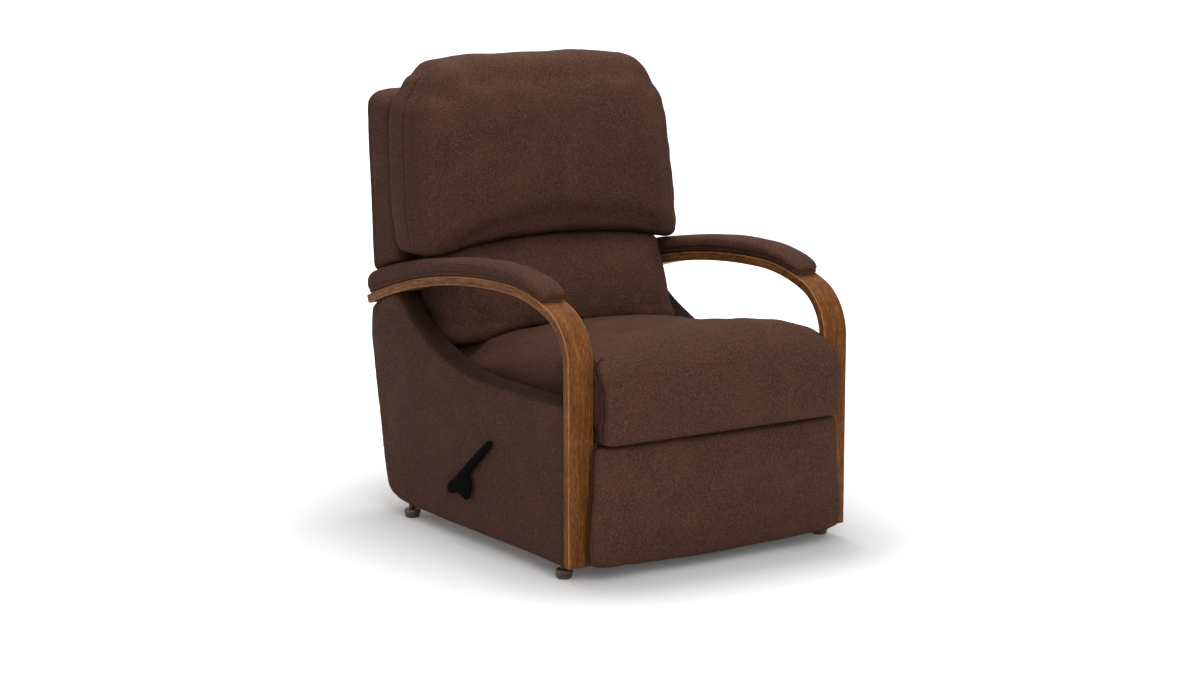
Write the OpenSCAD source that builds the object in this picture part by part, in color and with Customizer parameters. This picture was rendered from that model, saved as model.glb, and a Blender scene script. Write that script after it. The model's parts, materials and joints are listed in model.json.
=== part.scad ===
// Wall-saver recliner with bentwood arms and a lever-worked legrest.
// The sitter faces -Y, +Z is up, and +X is on the sitter's left.
// The origin is on the floor, midway across the chair and midway along its depth.

/* [Overall] */
// Width over the outer faces of the two bent arms
overall_w = 720; // [690:2:780]
// Distance from the origin forward to the front face of the legs
leg_front = 397.5; // [390:0.5:410]
// Height of the side panels' lower edge above the floor
panel_gap = 28; // [24:1:31]
// Clearance left between soft parts that only rest on each other
rest_gap = 0.3; // [0.3:0.1:0.8]
// Radial running clearance of every pin, shaft and bore
run_fit = 0.05; // [0.03:0.01:0.1]

/* [Bentwood arms] */
// Width of the laminated strip
arm_w = 62; // [50:1:70]
// Thickness of the laminated strip
arm_t = 20; // [16:1:24]
// Height of the wooden leg's lower end above the floor
leg_bottom = 32; // [24:1:40]
// Length of the straight part of the leg
leg_len = 414; // [395:1:430]
// Outer radius of the tight front bend
bend_1_r = 124; // [110:1:140]
// Angle turned by the front bend
bend_1_a = 68; // [60:1:72]
// Outer radius of the middle bend
bend_2_r = 441; // [400:5:480]
// Angle turned by the middle bend
bend_2_a = 21.3; // [18:0.1:24]
// Outer radius of the long rear sweep
bend_3_r = 1673; // [1500:10:1900]
// Angle turned by the rear sweep
bend_3_a = 21; // [19:0.5:22]
// Chamfer on the long edges of the strip
arm_chamfer = 3.5; // [1:0.5:5]
// Diameter of the bolts between the leg and the side board
leg_bolt_d = 7; // [5:0.5:9]
// Length of those bolts
leg_bolt_len = 46; // [36:2:60]

/* [Arm pads] */
// Width of the upholstered pad
pad_w = 70; // [60:1:76]
// Thickness of the pad at its front
pad_h = 29; // [24:1:36]
// Extra thickness gained from the front to the crest
pad_swell = 7; // [0:1:10]
// Extra thickness gained towards the back
pad_rise = 12; // [0:1:16]
// Setback of the pad's front end behind the tight bend
pad_setback = 26; // [0:1:40]
// Diameter of the pad screws
pad_screw_d = 5; // [4:0.5:6]

/* [Side panels] */
// Thickness of the plywood side boards
board_t = 16; // [12:1:18]
// Thickness of the padding over the boards
panel_t = 39; // [30:1:40]
// Height of the panels where they meet the legs
panel_h = 373; // [340:1:390]
// Rise of the panels' top curve towards the back
panel_rise = 128; // [110:1:140]
// Depth of the rolled edge of the padding
panel_roll = 13; // [8:1:16]
// Thickness of the timber cross rails of the base
rail_t = 22; // [18:1:28]
// Height of the front cross rail
front_rail_h = 60; // [40:1:70]
// Height of the rear cross rail
rear_rail_h = 80; // [50:1:100]
// Distance of the front cross rail ahead of the origin
front_rail_y = 170; // [160:1:180]
// Distance of the rear cross rail behind the origin
rear_rail_y = 320; // [300:1:340]

/* [Floor glides] */
// Diameter of the metal floor glides
glide_d = 38; // [30:1:38]
// Height of a glide's cup
glide_cup_h = 19; // [12:1:20]
// Diameter of a glide's stem
glide_stem_d = 9; // [7:0.5:12]
// Depth of the stem inside the side panel
glide_stem_in = 34; // [20:1:50]
// Front glides' distance ahead of the origin
front_glide_y = 343; // [320:1:355]
// Rear glides' distance behind the origin
rear_glide_y = 286; // [260:1:300]

/* [Sliding carriage] */
// Forward travel of the seat as the back reclines
slide_travel = 60; // [30:1:60]
// Upward slope of the tracks towards the front
track_slope = 8; // [6:0.5:12]
// Length of the steel tracks
track_len = 420; // [380:5:440]
// Wall of the tracks
track_wall = 2.5; // [2:0.1:3]
// Clear height inside the tracks
track_inner = 22; // [18:1:26]
// Depth of the tracks off the side boards
track_depth = 11; // [10:0.5:11.5]
// Thickness of the carriage side plates
plate_t = 4; // [3:0.5:5]
// Length of a nylon glide block
block_len = 60; // [40:1:80]
// Clearance of the blocks in the tracks
block_gap = 0.4; // [0.2:0.1:0.8]

/* [Seat] */
// Width of the timber rails of the seat frame
seat_rail_w = 40; // [30:1:46]
// Height of the underside of the seat frame
seat_frame_z = 288; // [286:1:292]
// Height of the seat frame's rails
seat_rail_h = 28; // [22:1:30]
// Wire of the sinuous springs
spring_wire = 4; // [3:0.5:5]
// Number of seat springs
spring_count = 5; // [3:1:6]
// Height of the seat's upper surface at the back
seat_top = 428; // [415:1:429]
// Height of the front roll's crest
seat_crest = 497; // [480:1:505]
// Gap between the seat cushion and the arm on each side
seat_side_gap = 6; // [3:1:16]
// Reach of the front roll over the leg on each side
roll_overlap = 7; // [-6:1:16]

/* [Back] */
// Distance of the recline pivots behind the origin
back_pivot_y = 400; // [396:1:404]
// Height of the recline pivots
back_pivot_z = 310; // [306:1:314]
// Diameter of the recline pivot pins
back_pin_d = 12; // [8:1:14]
// Distance of the back's side edges inside the arms' outer faces
back_set_in = 20; // [14:1:30]
// Height of the top of the back shell
shell_top = 950; // [920:1:980]
// Rise of the back pillow's crest over the shell
pillow_rise = 84; // [50:1:110]
// Reach of the back pillow past the shell's side edges
pillow_proud = 3; // [-15:1:8]
// Gap between the lumbar cushion and the arm on each side
lumbar_side_gap = 15; // [14:1:28]
// Thickness of the back frame's timber
post_t = 34; // [26:1:36]
// Width of the back frame's posts
post_w = 30; // [24:1:34]

/* [Legrest linkage] */
// Height of the front link pivots on the carriage
link_pivot_z = 258; // [255:0.5:260]
// Distance of the front link pivots ahead of the origin
link_pivot_y = 330; // [326:0.5:334]
// Distance between the front and rear link pivots
pivot_span = 58; // [54:1:60]
// Direction of the rear pivot seen from the front pivot
pivot_dir = 212; // [208:1:216]
// Length of the front and rear links
swing_len = 189.5; // [185:0.5:192]
// Direction of these links when the legrest is shut
swing_dir = -105; // [-108:0.5:-103]
// Length of the lower and upper links
carry_len = 183; // [179:0.5:186]
// Fixed direction of the lower and upper links
carry_dir = 55; // [54:0.5:57]
// Distance between the two legrest pivots
bracket_span = 48; // [46:0.5:50]
// Width of the link bars
link_w = 20; // [16:0.5:21]
// Thickness of the link bars
link_t = 4; // [3:0.5:4.5]
// Diameter of the link pins
pin_d = 8; // [6:0.5:9]
// Diameter of the cross tube that joins the two front links
tube_d = 16; // [12:0.5:18]
// Distance of the cross tube from the front link pivots
tube_r = 36; // [34:0.5:38]

/* [Legrest] */
// Thickness of the legrest board
legrest_board_t = 12; // [9:1:15]
// Setback of the board's ends from the ends of the pad
legrest_board_set_in = 14; // [12:1:28]
// Reach of the pad's upper corners over the legs
legrest_overlap = 10; // [2:1:22]
// Reach of the pad's lower corners over the legs
legrest_low_overlap = 22; // [7:1:32]
// Height of the pad's lower edge at the middle
legrest_low_z = 25; // [22:1:36]
// Rise of the lower edge from the middle to the corners
legrest_sag = 12; // [0:1:16]
// Height of the pad's upper edge
legrest_top_z = 286; // [280:1:288]
// Thickness of the legrest with its pad
legrest_t = 47; // [36:1:52]

/* [Handle] */
// Distance of the handle shaft behind the origin
handle_y = 33.5; // [28:0.5:38]
// Height of the handle shaft
handle_z = 122; // [118:0.5:126]
// Diameter of the drive shaft
shaft_d = 14; // [10:0.5:16]
// Distance of the handle off the side panel
handle_gap = 7; // [4:0.5:9]
// Thickness of the handle's hub
handle_t = 15; // [10:0.5:16]
// Length of the handle from the shaft to its tip
handle_len = 196; // [160:1:220]
// Rise of the handle above level when the legrest is shut
handle_dir = 39; // [30:1:45]
// Width of the grip
grip_w = 24; // [18:1:28]
// Thickness of the flat drive crank and rod
drive_t = 5; // [4:0.5:5.5]
// Width of the drive rod
rod_w = 18; // [14:1:20]
// Diameter of the crank pin
crank_pin_d = 9; // [7:0.5:10]
// Diameter of the screw that holds the handle on its shaft
handle_screw_d = 6; // [4:0.5:7]

/* [Hidden] */
$fn = 48;

// Colours seen on the chair
hide = [0.29, 0.205, 0.18];
timber = [0.44, 0.29, 0.19];
raw_timber = [0.78, 0.63, 0.44];
steel = [0.42, 0.43, 0.45];
zinc = [0.62, 0.62, 0.64];
black = [0.06, 0.06, 0.065];
nylon = [0.86, 0.85, 0.80];
bronze = [0.30, 0.25, 0.21];

// Places across the width
arm_out = overall_w / 2;
arm_in = arm_out - arm_w;
board_in = arm_in + 2;
board_out = board_in + board_t;
panel_out = board_out + panel_t;
plate_gap = 1;
plate_out = board_in - track_depth - plate_gap;
plate_in = plate_out - plate_t;
layer_gap = 1;
swing_out = plate_in - layer_gap;
swing_in = swing_out - link_t;
carry_out = swing_in - 2 * layer_gap;
carry_in = carry_out - link_t;
ear_out = carry_in - 2 * layer_gap;
ear_in = ear_out - link_t;
rod_out = ear_in - 11;
rod_in = rod_out - drive_t;
crank_in = rod_out + layer_gap;
crank_out = crank_in + drive_t;
seat_w = 2 * (arm_in - seat_side_gap);
roll_w = 2 * (arm_in + roll_overlap);
lumbar_w = 2 * (arm_in - lumbar_side_gap);
back_half_w = arm_out - back_set_in;
pillow_half_w = back_half_w + pillow_proud;
legrest_w = 2 * (arm_in + legrest_overlap);
legrest_low_w = 2 * (arm_in + legrest_low_overlap);
legrest_board_w = legrest_w - 2 * legrest_board_set_in;

// A point at distance r from p, at angle a above forward; points are [y, z]
function polar(p, r, a) = [p[0] - r * cos(a), p[1] + r * sin(a)];

// Points of the legrest linkage when it is shut
front_pivot = [-link_pivot_y, link_pivot_z];
rear_pivot = polar(front_pivot, pivot_span, pivot_dir);
lower_knee = polar(front_pivot, swing_len, swing_dir);
rear_knee = polar(lower_knee, pivot_span, pivot_dir);
upper_knee = [lower_knee[0], lower_knee[1] + bracket_span];
lower_ear = polar(lower_knee, carry_len, carry_dir);
upper_ear = [lower_ear[0], lower_ear[1] + bracket_span];
tube_at = polar(front_pivot, tube_r, swing_dir);
shaft_at = [handle_y, handle_z];
crank_at = polar(shaft_at, tube_r, swing_dir);
back_at = [back_pivot_y, back_pivot_z];
legrest_back = -leg_front - 3;

// Bend centres and directions of the arm's outer face
bend_1 = [-leg_front + bend_1_r, leg_bottom + leg_len];
turn_2 = bend_1_a + bend_2_a;
turn_3 = turn_2 + bend_3_a;
function face_at(c, r, a) = [c[0] - r * cos(a), c[1] + r * sin(a)];
function next_centre(c, r, a, rn) = [c[0] + (rn - r) * cos(a), c[1] - (rn - r) * sin(a)];
bend_2 = next_centre(bend_1, bend_1_r, bend_1_a, bend_2_r);
bend_3 = next_centre(bend_2, bend_2_r, turn_2, bend_3_r);
arm_rear = face_at(bend_3, bend_3_r, turn_3);
function arm_point(a, up) =
  a < bend_1_a ? face_at(bend_1, bend_1_r + up, a) :
  a < turn_2 ? face_at(bend_2, bend_2_r + up, a) : face_at(bend_3, bend_3_r + up, a);
// Height of the rear sweep, moved up by a distance, over a place along the depth
function sweep_z(y, up) = bend_3[1] + sqrt(pow(bend_3_r + up, 2) - pow(y - bend_3[0], 2));

// Helper shapes and point functions
function clamp01(v) = min(1, max(0, v));
function ease(v) = pow(clamp01(v), 2) * (3 - 2 * clamp01(v));
function sgn_pow(v, p) = sign(v) * pow(abs(v), p);
function arc(c, r, a0, a1, n) =
  [for (i = [0:n]) [c[0] + r * cos(a0 + (a1 - a0) * i / n), c[1] + r * sin(a0 + (a1 - a0) * i / n)]];
function flat_list(lists) = [for (l = lists) for (v = l) v];
function unit2(v) = v / max(norm(v), 0.0001);
// A closed outline moved inwards by d; the outline runs counter-clockwise
function inset(pts, d) = let (n = len(pts)) [
  for (i = [0:n - 1])
    let (t = unit2(pts[(i + 1) % n] - pts[(i + n - 1) % n])) pts[i] + d * [-t[1], t[0]]
];
// A skin over a stack of rings that closes on a point at each end
module skin(rings, first, last) {
  n = len(rings[0]);
  m = len(rings);
  points = concat(flat_list(rings), [first, last]);
  walls = [
    for (j = [0:m - 2]) for (i = [0:n - 1])
      let (a = j * n + i, b = j * n + (i + 1) % n)
        for (f = [[a, a + n, b], [b, a + n, b + n]]) f
  ];
  start = [for (i = [0:n - 1]) [i, (i + 1) % n, m * n]];
  end = [for (i = [0:n - 1]) [(m - 1) * n + (i + 1) % n, (m - 1) * n + i, m * n + 1]];
  polyhedron(points = points, faces = concat(walls, start, end), convexity = 6);
}
// A flat profile drawn in [y, z] and given a thickness across the chair
module across(x, t) {
  translate([x, 0, 0]) rotate([90, 0, 90]) linear_extrude(t) children();
}
module rod_x(p, x0, x1, d) {
  translate([x0, p[0], p[1]]) rotate([0, 90, 0]) cylinder(h = x1 - x0, d = d);
}
// Builds on the sitter's left, or mirrored on the right
module on_side(left) {
  if (left) children();
  else mirror([1, 0, 0]) children();
}
module both_sides() {
  on_side(true) children();
  on_side(false) children();
}
eye_proud = 1;
slot_pinch = 0.2;
// A straight strip from p to q with a round at each end
module strip_2d(p, q, w, round_d) {
  d = q - p;
  translate(p) rotate(atan2(d[1], d[0])) translate([0, -w / 2]) square([norm(d), w]);
  translate(p) circle(d = round_d);
  translate(q) circle(d = round_d);
}
// A bar whose eyes stand a little proud of its shank
module bar_2d(p, q, w) {
  strip_2d(p, q, w - eye_proud, w);
}
// A slot whose ends are a little narrower than its run
module slot_2d(p, q, w) {
  strip_2d(p, q, w, w - slot_pinch);
}
module drill_2d(p, d) {
  translate(p) circle(d = d + 2 * run_fit);
}

// Side panel outline in [y, z], counter-clockwise seen from the sitter's left
panel_front = -leg_front + arm_t + rest_gap;
panel_rear_z = panel_gap + 35;
panel_curve_y = -112.5;
panel_meet_y = 307.5;
panel_corner_y = 262;
function panel_rear_y(z) = let (h = z - panel_rear_z) 372.5 + 0.27 * h - 0.00017 * h * h;
function panel_top_z(y) =
  panel_h + panel_rise * pow(clamp01((y - panel_curve_y) / (panel_meet_y - panel_curve_y)), 2.45);
under_arm = -arm_t - rest_gap;
panel_top_y = arm_rear[0] - 4;
function panel_outline() = concat(
  [for (t = [0:0.2:0.8]) [panel_front + (panel_corner_y - panel_front) * t, panel_gap]],
  [for (a = [-90:18:-18]) [
    panel_corner_y + (panel_rear_y(panel_rear_z) - panel_corner_y) * cos(a),
    panel_rear_z + (panel_rear_z - panel_gap) * sin(a)
  ]],
  [for (t = [0:0.125:0.95]) let (z = panel_rear_z + (448 - panel_rear_z) * t) [panel_rear_y(z), z]],
  [for (t = [0:0.25:1]) let (y = panel_top_y + (panel_meet_y - panel_top_y) * t) [y, sweep_z(y, under_arm)]],
  [for (t = [0:0.0909:1]) let (y = panel_meet_y + (panel_curve_y - panel_meet_y) * t) [y, panel_top_z(y)]],
  [for (t = [0.25:0.25:1]) [panel_curve_y + (panel_front - panel_curve_y) * t, panel_h]]
);
panel_eye = [250, 200];

module panel_shape() {
  side = panel_outline();
  levels = [
    [board_out, 1.5], [board_out + 3, 0], [panel_out - panel_roll, 0],
    [panel_out - panel_roll * 0.45, panel_roll * 0.18], [panel_out - panel_roll * 0.12, panel_roll * 0.55],
    [panel_out, panel_roll * 1.3]
  ];
  rings = [for (l = levels) [for (p = inset(side, l[1])) [l[0], p[0], p[1]]]];
  skin(rings, [board_out, panel_eye[0], panel_eye[1]], [panel_out, panel_eye[0], panel_eye[1]]);
}

leg_bolt_x = board_in + board_t / 2;
leg_bolt_z = [140, 300];
leg_bolt_y = -leg_front + arm_t / 2;
module leg_bolt_holes(d) {
  for (z = leg_bolt_z)
    translate([leg_bolt_x, leg_bolt_y - 0.5, z]) rotate([-90, 0, 0]) cylinder(h = leg_bolt_len + 1, d = d);
}

// Places of the screws that hold the tracks and of the glides under the panels
glide_x = (board_out + panel_out) / 2;
track_mid = [80, 178];
track_screw_s = [-150, 0, 150];
function along_track(s, up) = [
  track_mid[0] - s * cos(track_slope) + up * sin(track_slope),
  track_mid[1] + s * sin(track_slope) + up * cos(track_slope)
];
track_screw_d = 5;

module side_board(left) {
  color(raw_timber) on_side(left) difference() {
    across(board_in, board_t) polygon(inset(panel_outline(), 8));
    leg_bolt_holes(leg_bolt_d + 2 * run_fit);
    for (s = track_screw_s)
      rod_x(along_track(s, 0), board_in - 1, board_out - 3, track_screw_d + 2 * run_fit);
    if (!left) rod_x(shaft_at, board_in - 1, board_out + 1, bush_d + 2 * run_fit);
  }
}
module side_panel(left) {
  color(hide) on_side(left) difference() {
    panel_shape();
    for (y = [-front_glide_y, rear_glide_y])
      translate([glide_x, y, panel_gap - 5]) cylinder(h = glide_stem_in + 5.2, d = glide_stem_d + 2 * run_fit);
    if (!left) rod_x(shaft_at, board_out - 1, panel_out + 1, shaft_d + 8);
  }
}

// Bentwood arm: one chamfered strip that runs up the leg and round three bends
function bend_angles(a0, a1, steps) = [for (i = [1:steps]) a0 + (a1 - a0) * i / steps];
arm_angles = concat(
  [0], bend_angles(0, bend_1_a, 16), bend_angles(bend_1_a, turn_2, 8), bend_angles(turn_2, turn_3, 14)
);
// Corners of the strip's section as [across, depth below the outer face]
strip_corners = let (c = arm_chamfer, w = arm_w / 2, t = arm_t) [
  [c - w, 0], [w - c, 0], [w, c], [w, t - c], [w - c, t], [c - w, t], [-w, t - c], [-w, c]
];
function strip_ring(a, drop) = [for (c = strip_corners)
  let (p = arm_point(a, -c[1])) [arm_out - arm_w / 2 + c[0], p[0], p[1] - drop]
];
pad_screw_x = arm_out - arm_w / 2;
pad_screw_a = [turn_2 - 9, turn_2 + 12];
module pad_screw_holes(d, low, high) {
  for (a = pad_screw_a)
    let (p = arm_point(a, low))
      translate([pad_screw_x, p[0], p[1]]) rotate([90 - a, 0, 0]) cylinder(h = high - low, d = d);
}
module arm(left) {
  rings = concat([strip_ring(0, leg_len)], [for (a = arm_angles) strip_ring(a, 0)]);
  color(timber) on_side(left) difference() {
    skin(rings, ring_centre(rings[0]), ring_centre(rings[len(rings) - 1]));
    leg_bolt_holes(leg_bolt_d + 2 * run_fit);
    pad_screw_holes(pad_screw_d + 2 * run_fit, -arm_t - 5, 5);
    pad_screw_holes(2 * pad_screw_d + 2 * run_fit, -arm_t - 5, -arm_t + 4);
  }
}

// Arm pad: rings that follow the arm from its front bend to its rear end
pad_end_a = turn_3 - 0.15;
pad_n = 24;
function pad_angle(t) =
  let (
    s0 = pad_setback * 180 / PI,
    s2 = bend_2_r * (turn_2 - bend_1_a),
    s3 = bend_3_r * (pad_end_a - turn_2),
    s = s0 + t * (s2 + s3 - s0)
  )
  s < s2 ? bend_1_a + s / bend_2_r : turn_2 + (s - s2) / bend_3_r;
function pad_top_h(y) = pad_h + pad_swell * ease((y + 330) / 260) + pad_rise * ease((y - 100) / 320);
pad_front_round = 0.06;
pad_rear_round = 0.04;
function pad_fill(t) =
  t < pad_front_round ? sqrt(1 - pow(1 - t / pad_front_round, 2)) :
  t > 1 - pad_rear_round ? sqrt(1 - pow(1 - (1 - t) / pad_rear_round, 2)) : 1;
pad_steps = concat(
  [0.002, 0.01, 0.025, pad_front_round],
  [for (i = [1:pad_n - 1]) pad_front_round + (1 - pad_front_round - pad_rear_round) * i / pad_n],
  [1 - pad_rear_round, 0.98, 0.992, 0.998]
);
pad_sides = 16;
pad_mid_x = arm_out + 4 - pad_w / 2;
function pad_ring(t) =
  let (
    a = pad_angle(t),
    base = arm_point(a, 0),
    h = pad_top_h(base[0]) * (0.45 + 0.55 * pad_fill(t)),
    w = pad_w * (0.72 + 0.28 * pad_fill(t)),
    n = [-cos(a), sin(a)]
  )
  [for (i = [0:pad_sides - 1])
    let (
      k = -360 * i / pad_sides,
      x = w / 2 * sgn_pow(cos(k), 0.5),
      u = rest_gap + h / 2 + h / 2 * sgn_pow(sin(k), sin(k) > 0 ? 0.62 : 0.3)
    )
    [pad_mid_x + x, base[0] + n[0] * u, base[1] + n[1] * u]
  ];
function ring_centre(r) = [for (k = [0:2]) let (v = [for (p = r) p[k]]) (v * [for (p = r) 1]) / len(r)];
module arm_pad(left) {
  rings = [for (t = pad_steps) pad_ring(t)];
  color(hide) on_side(left) difference() {
    skin(rings, ring_centre(rings[0]), ring_centre(rings[len(rings) - 1]));
    pad_screw_holes(pad_screw_d + 2 * run_fit, -2, 16);
  }
}
module arm_pad_screws() {
  color(zinc) both_sides() {
    pad_screw_holes(pad_screw_d, -arm_t + 1, 15.5);
    pad_screw_holes(2 * pad_screw_d, -arm_t + 1, -arm_t + 3.8);
  }
}
module leg_bolts() {
  color(zinc) both_sides() for (z = leg_bolt_z)
    translate([leg_bolt_x, leg_bolt_y, z]) rotate([-90, 0, 0]) cylinder(h = leg_bolt_len, d = leg_bolt_d);
}

// Base rails between the side boards
rail_bottom = panel_gap + 16;
module front_rail() {
  color(raw_timber) translate([-board_in, -front_rail_y, rail_bottom])
    cube([2 * board_in, rail_t, front_rail_h]);
}
module rear_rail() {
  color(raw_timber) translate([-board_in, rear_rail_y, rail_bottom + 10])
    cube([2 * board_in, rail_t, rear_rail_h]);
}

// Steel tracks: a channel whose open side faces the carriage
module track(left) {
  h = track_inner + 2 * track_wall;
  color(steel) on_side(left) difference() {
    translate([board_in - track_depth, track_mid[0], track_mid[1]]) rotate([-track_slope, 0, 0])
      translate([0, -track_len / 2, -h / 2]) difference() {
        cube([track_depth, track_len, h]);
        translate([-1, -1, track_wall]) cube([track_depth - track_wall + 1, track_len + 2, track_inner]);
      }
    for (s = track_screw_s)
      rod_x(along_track(s, 0), board_in - track_wall - 1, board_in + 1, track_screw_d + 2 * run_fit);
  }
}
module track_screws() {
  color(zinc) both_sides() for (s = track_screw_s) {
    rod_x(along_track(s, 0), board_in - track_wall - 0.3, board_out - 3.5, track_screw_d);
    rod_x(along_track(s, 0), board_in - track_wall - 1.3, board_in - track_wall - 0.02, 2 * track_screw_d);
  }
}

// Floor glides
module glide(y) {
  translate([glide_x, y, 0]) {
    rotate_extrude() polygon([
      [0, 0], [glide_d / 2 - 5, 0], [glide_d / 2 - 3, 2], [glide_d / 2, glide_cup_h - 4],
      [glide_d / 2 - 2, glide_cup_h], [0, glide_cup_h]
    ]);
    cylinder(h = panel_gap + glide_stem_in, d = glide_stem_d);
    translate([0, 0, panel_gap - 7]) cylinder(h = 6.7, d = 2 * glide_stem_d, $fn = 6);
  }
}
module front_glides() {
  color(bronze) both_sides() glide(-front_glide_y);
}
module rear_glides() {
  color(bronze) both_sides() glide(rear_glide_y);
}

// Bush of the drive shaft in the right side board
bush_d = shaft_d + 6;
module shaft_bushing() {
  color(nylon) on_side(false) difference() {
    union() {
      rod_x(shaft_at, board_in - 3, board_out, bush_d);
      rod_x(shaft_at, board_in - 3, board_in - 0.02, bush_d + 8);
    }
    rod_x(shaft_at, board_in - 5, board_out + 1, shaft_d + 2 * run_fit);
  }
}

// Carriage plate, outlined round its pivots, blocks and frame bolts
block_s = [-70, 110];
frame_bolt_y = [-310, -60, 190];
frame_bolt_z = seat_frame_z + seat_rail_h / 2;
frame_bolt_d = 6;
plate_top = seat_frame_z + seat_rail_h - 4;
module plate_2d() {
  polygon([
    [-link_pivot_y - 6, plate_top], [-link_pivot_y - 17, plate_top - 10], [-link_pivot_y - 17, link_pivot_z - 2],
    [rear_pivot[0] - 14, rear_pivot[1] - 14], [rear_pivot[0] + 12, rear_pivot[1] - 12],
    along_track(155, 14), along_track(155, -11), along_track(-105, -11), along_track(-130, 6),
    [back_at[0] - 60, back_at[1] - 30], [back_at[0] + 12, back_at[1] - 15],
    [back_at[0], back_at[1] + 18], [back_at[0] - 60, plate_top]
  ]);
  translate(front_pivot) circle(r = 16);
  translate(rear_pivot) circle(r = 16);
  translate(back_at) circle(r = 20);
}
module plate_windows_2d() {
  for (y = [-225, -135, 145]) translate([y, 262]) circle(d = 34);
  for (y = [-20, 60]) translate([y, 240]) circle(d = 52);
}
module carriage_plate(left) {
  color(steel) on_side(left) difference() {
    across(plate_in, plate_t) difference() {
      plate_2d();
      plate_windows_2d();
      drill_2d(front_pivot, pin_d);
      drill_2d(rear_pivot, pin_d);
      drill_2d(back_at, back_pin_d);
      for (y = frame_bolt_y) drill_2d([y, frame_bolt_z], frame_bolt_d);
      for (s = block_s) drill_2d(along_track(s, 0), 6);
    }
  }
}
module glide_blocks() {
  h = track_inner - 2 * block_gap;
  color(nylon) both_sides() for (s = block_s) difference() {
    union() {
      translate([plate_out, along_track(s, 0)[0], along_track(s, 0)[1]]) rotate([-track_slope, 0, 0])
        translate([0.02, -block_len / 2, -h / 2]) cube([track_depth + plate_gap - track_wall - 2.5, block_len, h]);
      rod_x(along_track(s, 0), plate_in - 1, plate_out + 0.5, 6);
      rod_x(along_track(s, 0), plate_in - 0.98, plate_in - 0.02, 9);
    }
  }
}
module link_pivot_pins() {
  color(zinc) both_sides() for (p = [front_pivot, rear_pivot]) {
    rod_x(p, swing_in - 0.3, plate_out, pin_d);
    rod_x(p, swing_in - 1.7, swing_in - 0.3, pin_d + 5);
    rod_x(p, swing_out + 0.3, plate_in - 0.02, pin_d + 5);
  }
}
bracket_x = plate_in - 3;
module back_pivot_pins() {
  color(zinc) both_sides() {
    rod_x(back_at, bracket_x - link_t - 0.3, plate_out + 1, back_pin_d);
    rod_x(back_at, bracket_x - link_t - 2.5, bracket_x - link_t - 0.3, back_pin_d + 7);
    rod_x(back_at, bracket_x + 0.3, plate_in - 0.02, back_pin_d + 7);
    rod_x(back_at, plate_out + 0.02, plate_out + 2.5, back_pin_d + 7);
  }
}

// Timber seat frame with its spring deck
seat_half = plate_in - 0.02;
seat_front = legrest_back + 4.5;
seat_back = 245;
spring_z = seat_frame_z + seat_rail_h + spring_wire / 2 + rest_gap;
module seat_frame() {
  color(raw_timber) difference() {
    translate([-seat_half, seat_front, seat_frame_z]) cube([2 * seat_half, seat_back - seat_front, seat_rail_h]);
    translate([seat_rail_w - seat_half, seat_front + seat_rail_w, seat_frame_z - 1])
      cube([2 * (seat_half - seat_rail_w), seat_back - seat_front - 2 * seat_rail_w, seat_rail_h + 2]);
    both_sides() for (y = frame_bolt_y)
      rod_x([y, frame_bolt_z], seat_half - 30, seat_half + 1, frame_bolt_d + 2 * run_fit);
  }
}
module frame_bolts() {
  color(zinc) both_sides() for (y = frame_bolt_y) {
    rod_x([y, frame_bolt_z], seat_half - 29.5, plate_out + 0.3, frame_bolt_d);
    rod_x([y, frame_bolt_z], plate_out + 0.02, plate_out + 3, 2 * frame_bolt_d, $fn = 24);
  }
}
// One sinuous spring from a to b, lying in the plane of the two unit vectors
module sinuous(a, b, side, wave, waves, wire) {
  steps = waves * 6;
  d = (b - a) / steps;
  lift = cross(unit3(b - a), side);
  rings = [for (i = [0:steps])
    let (
      c = a + d * i + side * wave * sin(60 * i),
      v = unit3(d + side * wave * (PI / 3) * cos(60 * i)),
      s = cross(lift, v)
    )
    [for (k = [0:4]) c + wire / 2 * (cos(72 * k) * s + sin(72 * k) * lift)]
  ];
  skin(rings, ring_centre(rings[0]), ring_centre(rings[steps]));
}
function unit3(v) = v / norm(v);
module seat_springs() {
  span = 2 * (seat_half - seat_rail_w);
  color(steel) for (i = [1:spring_count]) {
    x = -span / 2 + span * (i - 0.5) / spring_count;
    sinuous([x, seat_front + 12, spring_z], [x, seat_back - 12, spring_z], [1, 0, 0], 20, 9, spring_wire);
  }
}

// Seat cushion: sections of the cushion, taken across the chair
cushion_bottom = spring_z + spring_wire / 2 + rest_gap;
roll_bottom = legrest_top_z + 4;
nose_back = seat_front - rest_gap - 3;
nose_front = -466;
seat_rear = 205;
seat_eye = [-425, 385];
seat_slope = 25;
seat_fall = 20;
function seat_profile(rise) = concat(
  [[seat_rear, cushion_bottom], [seat_rear + 4, cushion_bottom + 18], [seat_rear + 4, seat_top - 34],
   [seat_rear - 3, seat_top - 12], [seat_rear - 22, seat_top - 1]],
  [for (y = [120:-50:-180]) [y, seat_top + seat_slope * ease((150 - y) / 250) + rise * 0.15]],
  [for (t = [0:0.2:1]) [
    -205 - 90 * t,
    seat_top + seat_slope + (seat_crest - seat_top - seat_slope) * ease(t) * 0.92 + rise * (0.15 + 0.85 * ease(t))
  ]],
  [for (a = [75:-15:0]) [
    -310 + (nose_front + 310) * pow(cos(a), 0.8), 350 + (seat_crest - 350 + rise) * pow(sin(a), 0.72)
  ]],
  [[nose_front, roll_bottom + 38], [nose_front + 2, roll_bottom + 20], [nose_front + 8, roll_bottom + 8],
   [nose_front + 18, roll_bottom + 1], [nose_front + 34, roll_bottom], [nose_back, roll_bottom],
   [nose_back, cushion_bottom]],
  [for (y = [-300:100:100]) [y, cushion_bottom]]
);
seat_stations = [-1, -0.985, -0.95, -0.88, -0.75, -0.5, -0.25, 0, 0.25, 0.5, 0.75, 0.88, 0.95, 0.985, 1];
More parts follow.
